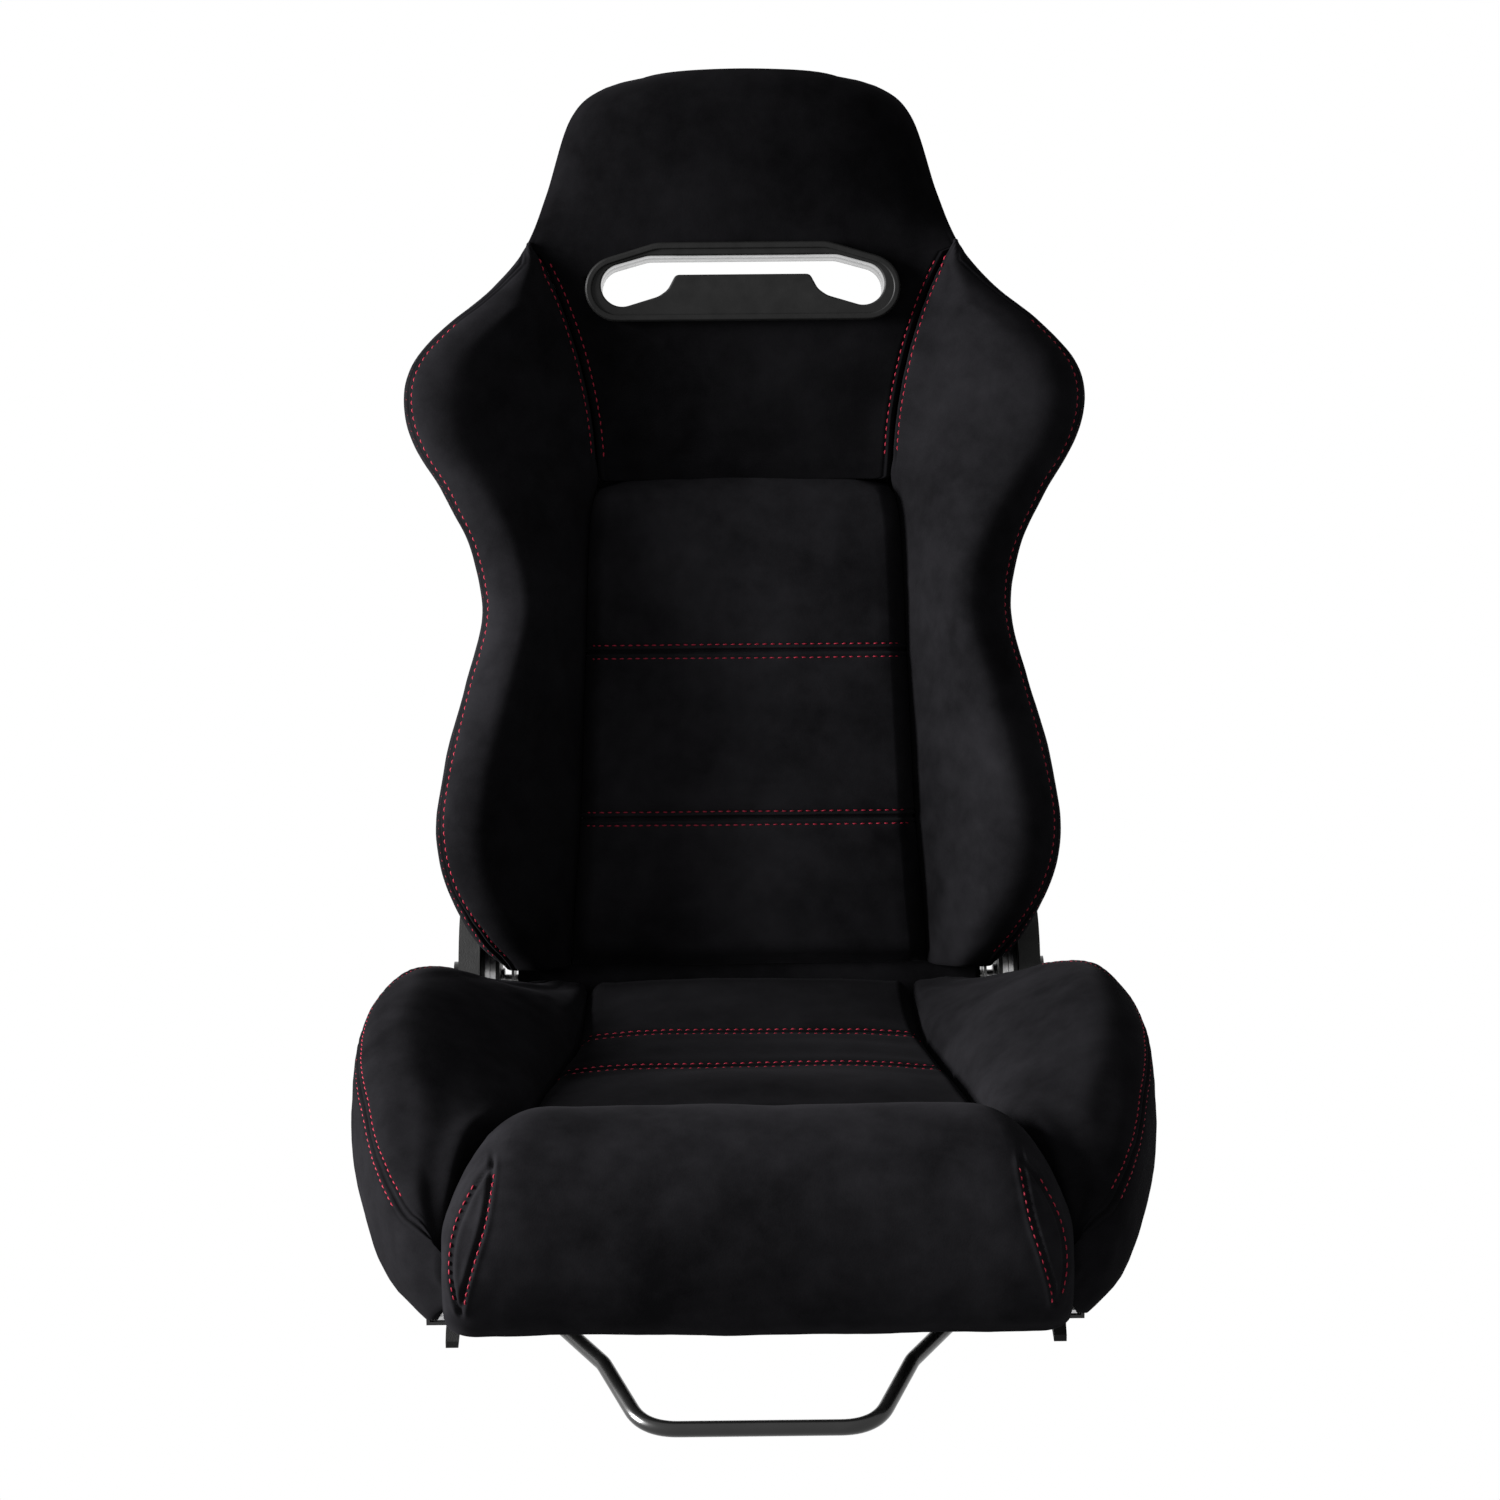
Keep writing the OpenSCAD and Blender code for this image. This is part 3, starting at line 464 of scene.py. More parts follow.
def slack(points, seed, amount=1.0):
    """The soft unevenness of cloth over foam."""
    broad, middling, fine = (ripple(points, size, seed + k) for k, size in enumerate((85, 34, 12)))
    return amount * (1.1 * broad + 0.55 * middling + 0.18 * fine)


def pucker(s, run, seed, amount=0.45):
    """Small gathers that the thread pulls across a seam, at distance s from it and run along it."""
    line = np.stack([run, run * 0.37, np.zeros_like(run)], axis=-1)
    return amount * ripple(line, 6.5, seed) * bump(s, 8.0)


def columns(total, seam, before, after):
    """Distances over a section: its start, before plain lines, the seam's lines, after plain lines."""
    reach = min(SEAM_REACH, seam * 0.4, (total - seam) * 0.45)
    start = np.array(HALF_SEAM) * min(1.0, seam * 0.3 / SEAM_REACH)
    near = seam + np.array(SEAM_STEPS) * reach / SEAM_REACH
    return np.concatenate([
        start,
        np.linspace(start[-1], near[0], before + 2)[1:-1],
        near,
        np.linspace(near[-1], total, after + 1)[1:],
    ])


def bolster_grid(stations, section_at, counts, spread, latest, missing):
    """A bolster's seen grid, its hidden grid and each point's distance from its start, seam and end.

    The seam is smoothed over spread sections each way. As a share of a section it lies at latest or
    before, and at missing where the section does not reach it.
    """
    lines, unders, seams = [], [], []
    for at in stations:
        over, under, seam_x = section_at(at)
        line = spline_points(over)
        s = lengths(line)
        past = np.argmax(line[:, 0] > seam_x)
        lines.append(line)
        unders.append(spline_points(under, 60))
        seams.append(s[past] if past else s[-1] * missing)
    width = 2 * spread + 1
    seams = np.convolve(np.pad(seams, spread, mode="edge"), np.ones(width) / width, mode="valid")
    grid, back, where = [], [], []
    for at, line, under, seam in zip(stations, lines, unders, seams):
        total = lengths(line)[-1]
        cols = columns(total, min(seam, total * latest), *counts)
        grid.append(level(at_lengths(line, cols), at))
        back.append(level(evenly(under, len(cols)), at))
        where.append(np.column_stack([cols, cols - seam, total - cols]))
    return np.array(grid), np.array(back), np.moveaxis(np.array(where), -1, 0)


SEAM_ROWS = [i for i, d in enumerate(SEAM_STEPS) if abs(d) == ROW]
START_ROW = HALF_SEAM.index(ROW)


def cushion(name, over, under, looks, nodes, body, ends=6.0):
    """One stuffed piece from its seen grid and its hidden grid, both with the same number of lines."""
    rings = [np.vstack([o, u[::-1]]) for o, u in zip(over, under)]
    obj = loft(name, rounded_ends(rings, ends), looks)
    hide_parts(*nodes)
    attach(obj, body)
    return obj


# ---- Cloth pass ----

# Every third line of a cushion's grid is enough cloth to show how its cover fills out
CLOTH_STEP = 3
CLOTH_FRAMES = 20
CLOTH_PRESSURE = 4.0
# The free cover starts this far inside its shape and may end this far from its start, in mm
CLOTH_START = 2.0
CLOTH_CAP = 5.0


def every_third(count):
    return np.unique(np.append(np.arange(0, count, CLOTH_STEP), count - 1))


def eased(values, axis):
    """Softens values along one axis of a grid and leaves both ends as they are."""
    kernel = np.array([1, 2, 3, 2, 1]) / 9
    return np.apply_along_axis(
        lambda line: np.convolve(np.pad(line, 2, mode="edge"), kernel, mode="valid"), axis, values
    )


def stuffed(over, under, held):
    """The seen grid after its cover fills out as cloth; held is 1 where it is held, 0 where it is free."""
    free = (1 - held)[..., None]
    start = over - surface_normals(over, under) * CLOTH_START * free
    rows, cols = every_third(over.shape[0]), every_third(over.shape[1])
    seen, hidden = start[np.ix_(rows, cols)], under[np.ix_(rows, cols)]
    pad = loft("pad", [np.vstack([o, u[::-1]]) for o, u in zip(seen, hidden)], SUEDE)
    weights = np.concatenate([held[np.ix_(rows, cols)], np.ones((len(rows), len(cols)))], axis=1).ravel()
    group = pad.vertex_groups.new(name="held")
    for index in range(len(pad.data.vertices)):
        group.add([index], float(weights[index]) if index < len(weights) else 1.0, "REPLACE")
    cloth = pad.modifiers.new("cloth", "CLOTH")
    cloth.settings.vertex_group_mass = "held"
    cloth.settings.use_pressure = True
    cloth.settings.uniform_pressure_force = CLOTH_PRESSURE
    cloth.settings.effector_weights.gravity = 0
    for frame in range(1, CLOTH_FRAMES + 1):
        bpy.context.scene.frame_set(frame)
    apply_modifiers(pad)
    after = np.array([v.co for v in pad.data.vertices]) / MM
    after = after[:len(weights)].reshape(len(rows), 2 * len(cols), 3)[:, :len(cols)]
    bpy.data.objects.remove(pad)
    bpy.context.scene.frame_set(1)
    moved = after - seen
    size = np.linalg.norm(moved, axis=-1, keepdims=True)
    moved *= np.minimum(1, CLOTH_CAP / np.maximum(size, 1e-6))
    all_rows, all_cols = np.arange(over.shape[0]), np.arange(over.shape[1])
    fine = np.apply_along_axis(lambda line: np.interp(all_rows, rows, line), 0, moved)
    fine = np.apply_along_axis(lambda line: np.interp(all_cols, cols, line), 1, fine)
    for _ in range(2):
        fine = eased(eased(fine, 0), 1)
    return start + fine * free


def held_by(*distances):
    """1 close to a seam or an edge; each distance comes with where its fade to 0 starts and stops."""
    return np.max([1 - smooth(start, stop, np.abs(d)) for d, start, stop in distances], axis=0)


def from_ends(grid):
    """Distance along the grid's lines from the nearer of their two ends."""
    run = along(grid, 0)
    return np.minimum(run, run[-1:] - run)


# ---- Stitches ----

STITCH_PITCH = 6.0
STITCH_LENGTH = 4.3
THREAD_R = 0.52


def stitch_run(line, normals, margin=2.0):
    """Single stitches along a line on the cloth: (start, end, normal) for each."""
    s = lengths(line)
    count = int((s[-1] - 2 * margin) / STITCH_PITCH)
    wanted = margin + STITCH_PITCH * (np.arange(count) + 0.5)
    a = at_lengths(line, wanted - STITCH_LENGTH / 2)
    b = at_lengths(line, wanted + STITCH_LENGTH / 2)
    n = values_at(normals, s, wanted)
    return list(zip(a, b, n))


def stitches(name, runs, body, seed=1):
    """All the stitches of one cushion as one piece: short threads that dip into the cloth at both ends."""
    rng = np.random.default_rng(seed)
    sides, steps = 6, 6
    verts, faces = [], []
    for a, b, n in (stitch for run in runs for stitch in run):
        middle, half = (a + b) / 2, (b - a) / 2
        n = n / (np.linalg.norm(n) + 1e-9)
        across = np.cross(half, n)
        across /= np.linalg.norm(across) + 1e-9
        half = half * rng.uniform(0.92, 1.05) + across * rng.uniform(-0.18, 0.18)
        first = len(verts)
        for t in np.linspace(-1, 1, steps):
            radius = THREAD_R * math.sqrt(max(0.06, 1 - 0.85 * t * t))
            centre = middle + half * t + n * (0.42 - 0.95 * t * t)
            for k in range(sides):
                turn = 2 * math.pi * k / sides
                verts.append(centre + radius * (math.cos(turn) * across + math.sin(turn) * n))
        faces += loft_faces(steps, sides, base=first)
        faces.append(tuple(range(first + sides - 1, first - 1, -1)))
        faces.append(tuple(range(first + (steps - 1) * sides, first + steps * sides)))
    obj = new_object(name, verts, faces, THREAD)
    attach(obj, body)


def run_of(over, normals, column, first, last):
    return stitch_run(over[first:last, column], normals[first:last, column])


# ---- Backrest cushions ----

# Half widths and depths over the height up the back from the hinge, in mm
back_outline = [
    [0, 166], [25, 196], [55, 217], [90, 232], [125, 236], [170, 229], [230, 214], [282, 202], [330, 210],
    [372, 230], [410, 252], [440, 259], [470, 252], [500, 226], [530, 190], [560, 165], [600, 150],
    [645, 136], [662, 129], [676, 119], [686, 105], [691, 93], [694, 78],
]
upper_seam = [[384, 111], [430, 115], [478, 125], [520, 139], [548, 152], [563, 161]]
insert_half = [[14, 136], [127, 127], [254, 122], [350, 118], [384, 112]]
insert_depth = [[0, -32], [60, -42], [120, -46], [250, -38], [384, -26]]
head_depth = [[384, -20], [470, -17], [532, -19], [600, -25], [650, -34], [694, -24]]
foam_rear = [[0, -16], [30, -4], [60, 8], [560, 8], [600, 2], [650, -6], [694, -12]]
shell_rear = [
    [0, 46], [120, 52], [250, 54], [400, 48], [500, 38], [560, 32], [600, 27], [650, 15], [694, -1],
]
bolster_share = [
    [14, 0.4], [60, 0.86], [120, 1], [200, 0.98], [282, 0.8], [350, 0.78], [440, 0.86],
    [500, 0.56], [535, 0.22], [562, 0.03],
]
side_rear = [[0, -68], [50, -54], [100, -24], [150, 4], [180, 8], [220, 38], [400, 33], [500, 23], [562, 9]]
BOLSTER_DEPTH = 92
BACK_CREASE = 12
# Where the bolsters start and end, and the head, and where the head's edges roll back
BOLSTER_SPAN = (14, 561)
HEAD_LOW = 384
HEAD_TOP = 694
HEAD_ROLL = (550, 612)
# The hidden side of a bolster steps back here to clear the frame hoop
HOOP_INSIDE, HOOP_OUTSIDE = 164, 172
# The cloth is held this close to the middle of the harness slot, across and up
SLOT_HOLD_X, SLOT_HOLD_Z = 122, 40


def head_roll(z, u):
    """How far the head's sides roll back at height z; u is 0 in the middle and 1 at the edge."""
    return smooth(*HEAD_ROLL, z) * (26 * np.abs(u) ** 7 + 8 * u**2)


def back_bolster_section(z):
    """Points over the bolster and over its hidden side, as (x, y) at height z, and its seam's x."""
    past_insert = smooth(368, 396, z)
    xi = mix(curve(insert_half, z), curve(upper_seam, z), past_insert) + PANEL_GAP
    xo = curve(back_outline, z)
    ys = mix(curve(insert_depth, z), curve(head_depth, z), past_insert)
    yr = ys - BOLSTER_DEPTH * curve(bolster_share, z) * 0.9
    yb = max(curve(side_rear, z), yr + 20)
    xr = max(mix(xi, xo, 0.5), xo - 38)
    crease = 1 - past_insert
    edge = mix(xr, xo, 0.6)
    yc = min(curve(foam_rear, z), yb + 40)
    first = (xi, ys + BACK_CREASE * crease)
    lift = mix(0.18, 0.16, crease)
    inside = min(HOOP_INSIDE, edge - 4)
    over = [
        first, (mix(xi, xr, 0.13), mix(ys, yr, lift) + 1.5 * crease),
        (mix(xi, xr, 0.5), mix(ys, yr, 0.62)), (xr, yr), (mix(xr, xo, 0.75), mix(yr, yb, 0.12)),
        (xo, mix(yr, yb, 0.45)), (xo - 2, mix(yr, yb, 0.8)), (edge, yb),
    ]
    under = [
        (xi, max(yc, first[1] + 3)), (mix(xi, inside, 0.5), yc), (inside, yc),
        (min(HOOP_OUTSIDE, edge - 2), mix(yc, yb, 0.9)), (edge, yb),
    ]
    return over, under, xo - 6.5


def back_bolster(side, seed):
    stations = np.linspace(*BOLSTER_SPAN, 150)
    counts = (16, 14)
    grid, back, (start, seam, end) = bolster_grid(stations, back_bolster_section, counts, 3, 0.9, 0.5)
    held = held_by((start, 6, 30), (seam, 13, 32), (end, 2, 16), (from_ends(grid), 4, 30))
    grid = stuffed(grid, back, held)
    normals = surface_normals(grid, back)
    run = along(grid, 0)
    narrow = np.clip((start + end - 20) / 60, 0.12, 1)
    upper = smooth(HEAD_LOW, HEAD_LOW + 18, grid[..., 2])
    height = (seam_profile(seam, 2.4) + pucker(seam, run, seed)) * narrow
    height += (seam_profile(start, 2.2) * narrow + pucker(start, run, seed + 3)) * upper
    height += slack(grid, seed) * smooth(0, 14, start) * smooth(0, 20, end) * narrow
    place = on_side(in_back, side)
    label = "right" if side > 0 else "left"
    shown, turn = shown_in_row(grid, normals, height, place)
    nodes = [f"back_bolster_{label}"]
    cushion(f"bolster_cover_{label}", shown, place(back), SUEDE, nodes, "backrest")
    first_seam = len(HALF_SEAM) + counts[0]
    top = int(np.argmax(stations > HEAD_LOW + 14))
    runs = [run_of(shown, turn, first_seam + c, 2, -16) for c in SEAM_ROWS]
    runs.append(run_of(shown, turn, START_ROW, top, -2))
    stitches(f"bolster_stitches_{label}", runs, "backrest", seed)


def head_cover():
    # Stations that close up toward the rounded top edge
    edge = 34
    closing = HEAD_TOP - edge * np.cos(np.linspace(0, math.pi / 2, 16)[1:])
    stations = np.concatenate([np.linspace(HEAD_LOW, HEAD_TOP - edge, 66), closing])
    grid, back = [], []
    for z in stations:
        half = curve(upper_seam, z) - PANEL_GAP if z < 556 else curve(back_outline, z)
        half = min(half, curve(back_outline, z))
        inner = np.linspace(0, half - SEAM_REACH, 13)[:-1]
        x = np.concatenate([inner, half - np.array(HALF_SEAM[::-1])])
        x = np.concatenate([-x[:0:-1], x])
        u = x / half
        top = 15 * (np.clip((z - 664) / 30, 0, 1) ** 2.5)
        y = curve(head_depth, z) + head_roll(z, u) + top
        rear = np.maximum(curve(foam_rear, z), y + 4)
        drop = 3.0 * u**2 * smooth(640, HEAD_TOP, z)
        grid.append(np.column_stack([x, y, np.full(len(x), z) - drop]))
        back.append(np.column_stack([x, rear, grid[-1][:, 2]]))
    grid, back = np.array(grid), np.array(back)
    past_slot = np.maximum(
        np.abs(grid[..., 2] - SLOT_Z) - SLOT_HOLD_Z, np.abs(grid[..., 0]) - SLOT_HOLD_X
    )
    s = grid[:, -1:, 0] - np.abs(grid[..., 0])
    held = held_by((s, 6, 30), (np.maximum(past_slot, 0), 0, 26), (from_ends(grid), 6, 40))
    grid = stuffed(grid, back, held)
    normals = surface_normals(grid, back)
    run = along(grid, 0)
    z = grid[..., 2]
    sewn = 1 - smooth(548, 570, z)
    height = seam_profile(s, 2.2) * sewn + pucker(s, run, 21) * sewn
    height += slack(grid, 23, 0.9) * smooth(0, 14, s) * (1 - 0.8 * smooth(670, 690, z))
    height -= 3.0 * bump(z - HEAD_LOW, 7)
    shown, turn = shown_in_row(grid, normals, height, in_back)
    # The head cover wears the darker suede copy: painted shade
    obj = cushion("head_cover", shown, in_back(back), SUEDE_PAINTED_SHADE, ["head_pad"], "backrest", ends=4.0)
    low, high = 3, int(np.argmax(stations > 558))
    last = grid.shape[1] - 1 - START_ROW
    runs = [run_of(shown, turn, c, low, high) for c in (START_ROW, last)]
    stitches("head_stitches", runs, "backrest", 5)
    return obj


# Distances from a panel's edge to the grid lines along it, and its least thickness, in mm
PANEL_EDGE = [14, 11.5, 9, 7, 5, 3.4, 2, 1, 0.3, 0]
PANEL_LEAST = 12


def panel(name, lows, highs, seams, half_of, depth_of, hidden_of, place, looks, nodes, body, seed,
          pillow, edge_roll, corner, low_corner):
    """A padded panel with seams from side to side, from lows to highs up the back or along the seat.

    half_of, depth_of and hidden_of give its half width, its seen height and its hidden height there.
    pillow is the swell between the seams; the last three numbers round its edges and corners.
    """
    stations = lows + around_seams(highs - lows, [c - lows for c in seams])
    bounds = [lows, *seams, highs]
    grid, back = [], []
    for t in stations:
        half = half_of(t)
        near_end = min(t - lows, highs - t)
        rounding = corner if highs - t < t - lows else low_corner
        inset = rounding * (1 - math.sqrt(max(0.0, 1 - (1 - min(near_end / rounding, 1)) ** 2)))
        half -= inset
        inner = np.linspace(0, half - PANEL_EDGE[0], 15)[:-1]
        x = np.concatenate([inner, half - np.array(PANEL_EDGE)])
        x = np.concatenate([-x[:0:-1], x])
        i = int(np.clip(np.searchsorted(bounds, t, side="right") - 1, 0, len(bounds) - 2))
        v = (t - bounds[i]) / (bounds[i + 1] - bounds[i])
        swell = pillow * (math.sin(math.pi * min(max(v, 0.0), 1.0)) ** 0.55)
        from_side = half - np.abs(x)
        side_drop = edge_roll * (1 - np.clip(from_side / edge_roll, 0, 1)) ** 2
        end_drop = edge_roll * (1 - min(near_end / edge_roll, 1)) ** 2
        depth = depth_of(t, x / half) + swell * (1 - 0.75 * (np.abs(x) / half) ** 4) - side_drop - end_drop
        depth = np.maximum(depth, hidden_of(t) + PANEL_LEAST)
        grid.append(level(np.column_stack([x, depth]), t))
        back.append(level(level(x, hidden_of(t)), t))
    grid, back = np.array(grid), np.array(back)
    from_side = grid[:, -1:, 0] - np.abs(grid[..., 0])
    near_seam = np.min([np.abs(grid[..., 2] - seam) for seam in seams], axis=0)
    held = held_by((from_side, 4, 26), (near_seam, 10, 26), (from_ends(grid), 4, 22))
    grid = stuffed(grid, back, held)
    normals = surface_normals(grid, back)
    t = np.repeat(stations[:, None], grid.shape[1], axis=1)
    height = np.zeros(t.shape)
    for k, seam in enumerate(seams):
        height += seam_profile(t - seam, 2.6, 4.6) + pucker(t - seam, grid[..., 0], seed + k)
    height += slack(grid, seed + 9, 1.2) * smooth(0, 16, from_side)
    height -= 0.9 * ripple(grid, (9, 60, 60), seed + 11) * bump(from_side - 6, 6)
    shown, turn = shown_in_row(grid, normals, height, place)
    cushion(name, shown, place(back), looks, nodes, body, ends=3.0)
    runs = []
    for seam in seams:
        for d in (-ROW, ROW):
            row = int(np.argmin(np.abs(stations - seam - d * 0.93)))
            runs.append(stitch_run(shown[row, 4:-4], turn[row, 4:-4], 1.0))
    stitches(f"{name}_stitches", runs, body, seed)


def back_insert_cover():
    def place(p):
        return in_back(np.stack([p[..., 0], -p[..., 1], p[..., 2]], axis=-1))

    panel(
        "back_insert_cover", 14, 382, [125, 251.2],
        lambda z: curve(insert_half, z) - PANEL_GAP,
        lambda z, u: 2 - curve(insert_depth, z) + 3 * (1 - u**4),
        lambda z: -curve(foam_rear, z),
        # The back insert wears the lighter suede copy: painted light
        place, SUEDE_PAINTED_LIGHT, ["back_insert"], "backrest", 31,
        pillow=6.0, edge_roll=14.0, corner=16.0, low_corner=1.0,
    )


# ---- Base cushions ----

# Heights and half widths over the distance behind the origin, in mm
insert_top = [[-188, 168], [-140, 164], [-75, 155], [0, 147], [60, 146], [116, 151]]
inner_edge = [[-345, 213], [-300, 212], [-240, 194], [-188, 166], [-75, 145], [6, 130], [88, 124]]
outer_edge = [
    [-308, 221], [-295, 243], [-260, 262], [-200, 278], [-140, 287], [-60, 283], [20, 267], [62, 246],
    [84, 208], [110, 172],
]
ridge_top = [
    [-308, 128], [-285, 152], [-240, 182], [-170, 213], [-90, 225], [-20, 214], [40, 189], [86, 159],
    [110, 151],
]
seam_height = [[-308, 112], [-280, 150], [-240, 182], [-188, 176], [-75, 160], [6, 152], [110, 147]]
low_edge = [
    [-308, 84], [-285, 62], [-240, 54], [-120, 54], [-50, 66], [-5, 126], [30, 148], [80, 150], [110, 128],
]
BASE_BOLSTER_SPAN = (-308, 110)
CUSHION_BASE = 112
# The middle of a side plate, and how far out a cushion stays clear of it
SIDE_PLATE_X = 201
SIDE_CLEAR = 210


def seat_place(p):
    """From (x, height, distance behind the origin) to the row frame."""
    return np.stack([p[..., 0], p[..., 2], p[..., 1]], axis=-1)


def seat_insert_cover():
    panel(
        "seat_insert_cover", -187.5, 115, [-75, 6],
        lambda y: curve(inner_edge, y) - PANEL_GAP,
        lambda y, u: curve(insert_top, y) + 3 - 4 * u**4,
        lambda y: CUSHION_BASE,
        # The seat insert wears the darker suede copy: painted shade
        seat_place, SUEDE_PAINTED_SHADE, ["seat_insert"], "seat_base", 47,
        pillow=5.0, edge_roll=13.0, corner=1.0, low_corner=1.0,
    )


def seat_bolster_section(y):
    xi, xo = curve(inner_edge, y) + PANEL_GAP, curve(outer_edge, y)
    zi, zr, zb = (curve(keys, y) for keys in (seam_height, ridge_top, low_edge))
    xr = max(mix(xi, xo, 0.55), xo - 40)
    top = max(CUSHION_BASE, min(zb + 10, CUSHION_BASE + 46, zi - 6))
    crease = 10 * smooth(-308, -270, y)
    over = [
        (xi, max(zi - crease, top + 2)), (mix(xi, xr, 0.12), mix(zi, zr, 0.2)),
        (mix(xi, xr, 0.5), mix(zi, zr, 0.62)), (xr, zr), (mix(xr, xo, 0.75), mix(zr, zb, 0.13)),
        (xo, mix(zr, zb, 0.45)), (xo - 8, mix(zr, zb, 0.8)), (min(mix(xo, SIDE_PLATE_X, 0.5), xo - 12), zb),
    ]
    clear = min(max(SIDE_CLEAR, xi), xo - 18)
    low = min(mix(xo, SIDE_PLATE_X, 0.62), xo - 14)
    under = [
        (xi, CUSHION_BASE), (min(mix(xi, clear, 0.8), 170), CUSHION_BASE), (clear, top),
        (clear + min(4, (low - clear) / 2), max(zb + 2, mix(top, zb, 0.5))), (low, zb),
    ]
    return over, under, xo - mix(8, min(xo - xr, 38), smooth(-90, 40, y))


def seat_bolster(side, seed):
    stations = np.linspace(*BASE_BOLSTER_SPAN, 124)
    counts = (20, 16)
    grid, back, (start, seam, end) = bolster_grid(stations, seat_bolster_section, counts, 4, 0.85, 0)
    held = held_by((start, 6, 30), (seam, 13, 32), (end, 2, 20), (from_ends(grid), 4, 40))
    grid = stuffed(grid, back, held)
    normals = surface_normals(grid, back)
    narrow = np.clip((start + end - 20) / 80, 0.1, 1)
    height = (seam_profile(seam, 2.4) + pucker(seam, along(grid, 0), seed)) * narrow
    height += slack(grid, seed, 1.2) * smooth(0, 14, start) * smooth(0, 24, end) * narrow
    place = on_side(seat_place, side)
    label = "right" if side > 0 else "left"
    shown, turn = shown_in_row(grid, normals, height, place)
    nodes = [f"seat_bolster_{label}"]
    cushion(f"base_bolster_{label}", shown, place(back), SUEDE, nodes, "seat_base", ends=8.0)
    first_seam = len(HALF_SEAM) + counts[0]
    runs = [run_of(shown, turn, first_seam + c, 8, -14) for c in SEAM_ROWS]
    stitches(f"base_bolster_stitches_{label}", runs, "seat_base", seed)


roll_over = [
    [-188, 158], [-193, 172], [-206, 187], [-232, 198], [-264, 200], [-300, 187], [-330, 158], [-343, 120],
    [-338, 86], [-320, 66],
]
roll_under = [[-188, 112], [-215, 112], [-242, 110], [-272, 96], [-276, 74], [-290, 66]]
# The gusset at each end of the roll: where its two seams lie across the seat, at each height
gusset_inner = [[92, 200], [108, 198], [130, 192], [155, 184], [184, 178]]
gusset_outer = [[92, 200.5], [104, 203], [126, 206], [150, 202], [172, 190], [184, 179]]
# Half length of the roll, the rounding of its ends and how far its ends fall
ROLL_HALF = 211.5
ROLL_END_R = 18
ROLL_FALL = 36


def thigh_roll_cover():
    gusset_x = 170
    near_end = np.arange(gusset_x, ROLL_HALF + 0.1, 1.3)
    x_stations = np.concatenate([np.linspace(0, gusset_x, 24)[:-1], near_end, [ROLL_HALF]])
    x_stations = np.concatenate([-x_stations[:0:-1], x_stations])
    path = evenly(spline_points(roll_over), 120)
    under = evenly(spline_points(roll_under, 80), 120)
    tangent = np.gradient(path, axis=0)
    inward = np.stack([tangent[:, 1], -tangent[:, 0]], axis=1)
    inward /= np.linalg.norm(inward, axis=1, keepdims=True)
    if np.sum(inward * (under.mean(0) - path)) < 0:
        inward = -inward
    half = curve(inner_edge, path[:, 0]) - PANEL_GAP
    under_half = curve(inner_edge, under[:, 0]) - PANEL_GAP
    grid, back = [], []
    for x0 in x_stations:
        u = x0 / ROLL_HALF
        gap = max(0.0, 1 - (half * (1 - abs(u))).min() / ROLL_END_R)
        drop = ROLL_END_R * (1 - math.sqrt(max(0.0, 1 - gap * gap))) * 0.75
        yz = path + inward * drop
        fall = ROLL_FALL * max(0.0, (abs(u) - 0.72) / 0.28) ** 2.6
        yz[:, 1] -= fall * np.clip((path[:, 1] - CUSHION_BASE) / 80, 0, 1)
        grid.append(np.column_stack([u * half, yz]))
        back.append(np.column_stack([u * under_half, under]))
    grid, back = np.array(grid), np.array(back)
    past_gusset = gusset_x - np.abs(grid[..., 0])
    across = along(grid, 1)
    from_edge = np.minimum(across, across[:, -1:] - across)
    grid = stuffed(grid, back, held_by((np.maximum(past_gusset, 0), 0, 40), (from_edge, 6, 40)))
    normals = surface_normals(grid, back)
    x, y, z = np.abs(grid[..., 0]), grid[..., 1], grid[..., 2]
    front = smooth(-246, -262, y) * smooth(90, 97, z) * (1 - smooth(182, 190, z))
    for keys in (gusset_inner, gusset_outer):
        s = (x - curve(keys, z)) * 0.93
        sunk = -1.9 * bump(s, 1.3) + 0.8 * bump(np.abs(s) - 3, 1.8) + pucker(s, z, 63, 0.35)
        grid = grid + normals * (front * sunk)[..., None]
    fade = smooth(0, 20, ROLL_HALF - x)
    height = slack(grid, 61, 1.4) * fade
    over = grid + normals * height[..., None]
    # The thigh roll wears the lighter suede copy: painted light
    obj = cushion("thigh_roll_cover", over, back, SUEDE_PAINTED_LIGHT, ["thigh_roll"], "seat_base", ends=3.0)
    tree = BVHTree.FromPolygons([v.co for v in obj.data.vertices], [p.vertices for p in obj.data.polygons])
    runs = []
    for side in (-1, 1):
        for keys, shift, low, high in ((gusset_inner, -1.9, 95, 182), (gusset_outer, 1.5, 100, 174)):
            points, turns = [], []
            for z_at in np.linspace(high, low, 60):
                start = Vector((side * (curve(keys, z_at) + shift), -450.0, z_at)) * MM
                hit, normal, _, _ = tree.ray_cast(start, Vector((0.0, 1.0, 0.0)))
                if hit is not None and hit.y < -0.24:
                    points.append(np.array(hit) / MM)
                    turns.append(np.array(normal))
            if len(points) > 4:
                turns = np.array(turns)
                turns *= np.where(turns[:, 1:2] > 0, -1, 1)
                runs.append(stitch_run(np.array(points), turns, 0.5))
    stitches("roll_stitches", runs, "seat_base", 8)


# ---- Harness slot bezel ----

# Height of the slot up the back, and the centres and radii of the bezel's round ends and of its opening's
SLOT_Z = 532
BEZEL_END, BEZEL_R = (95, -5), 25
LOBE, LOBE_R = (91.5, -2.3), 16.3


def arc(centre, radius, start, stop, count=18):
    turns = np.radians(np.linspace(start, stop, count))
    return [(centre[0] + radius * math.cos(t), centre[1] + radius * math.sin(t)) for t in turns]


def mirror_x(points):
    return [(-x, z) for x, z in points][::-1]


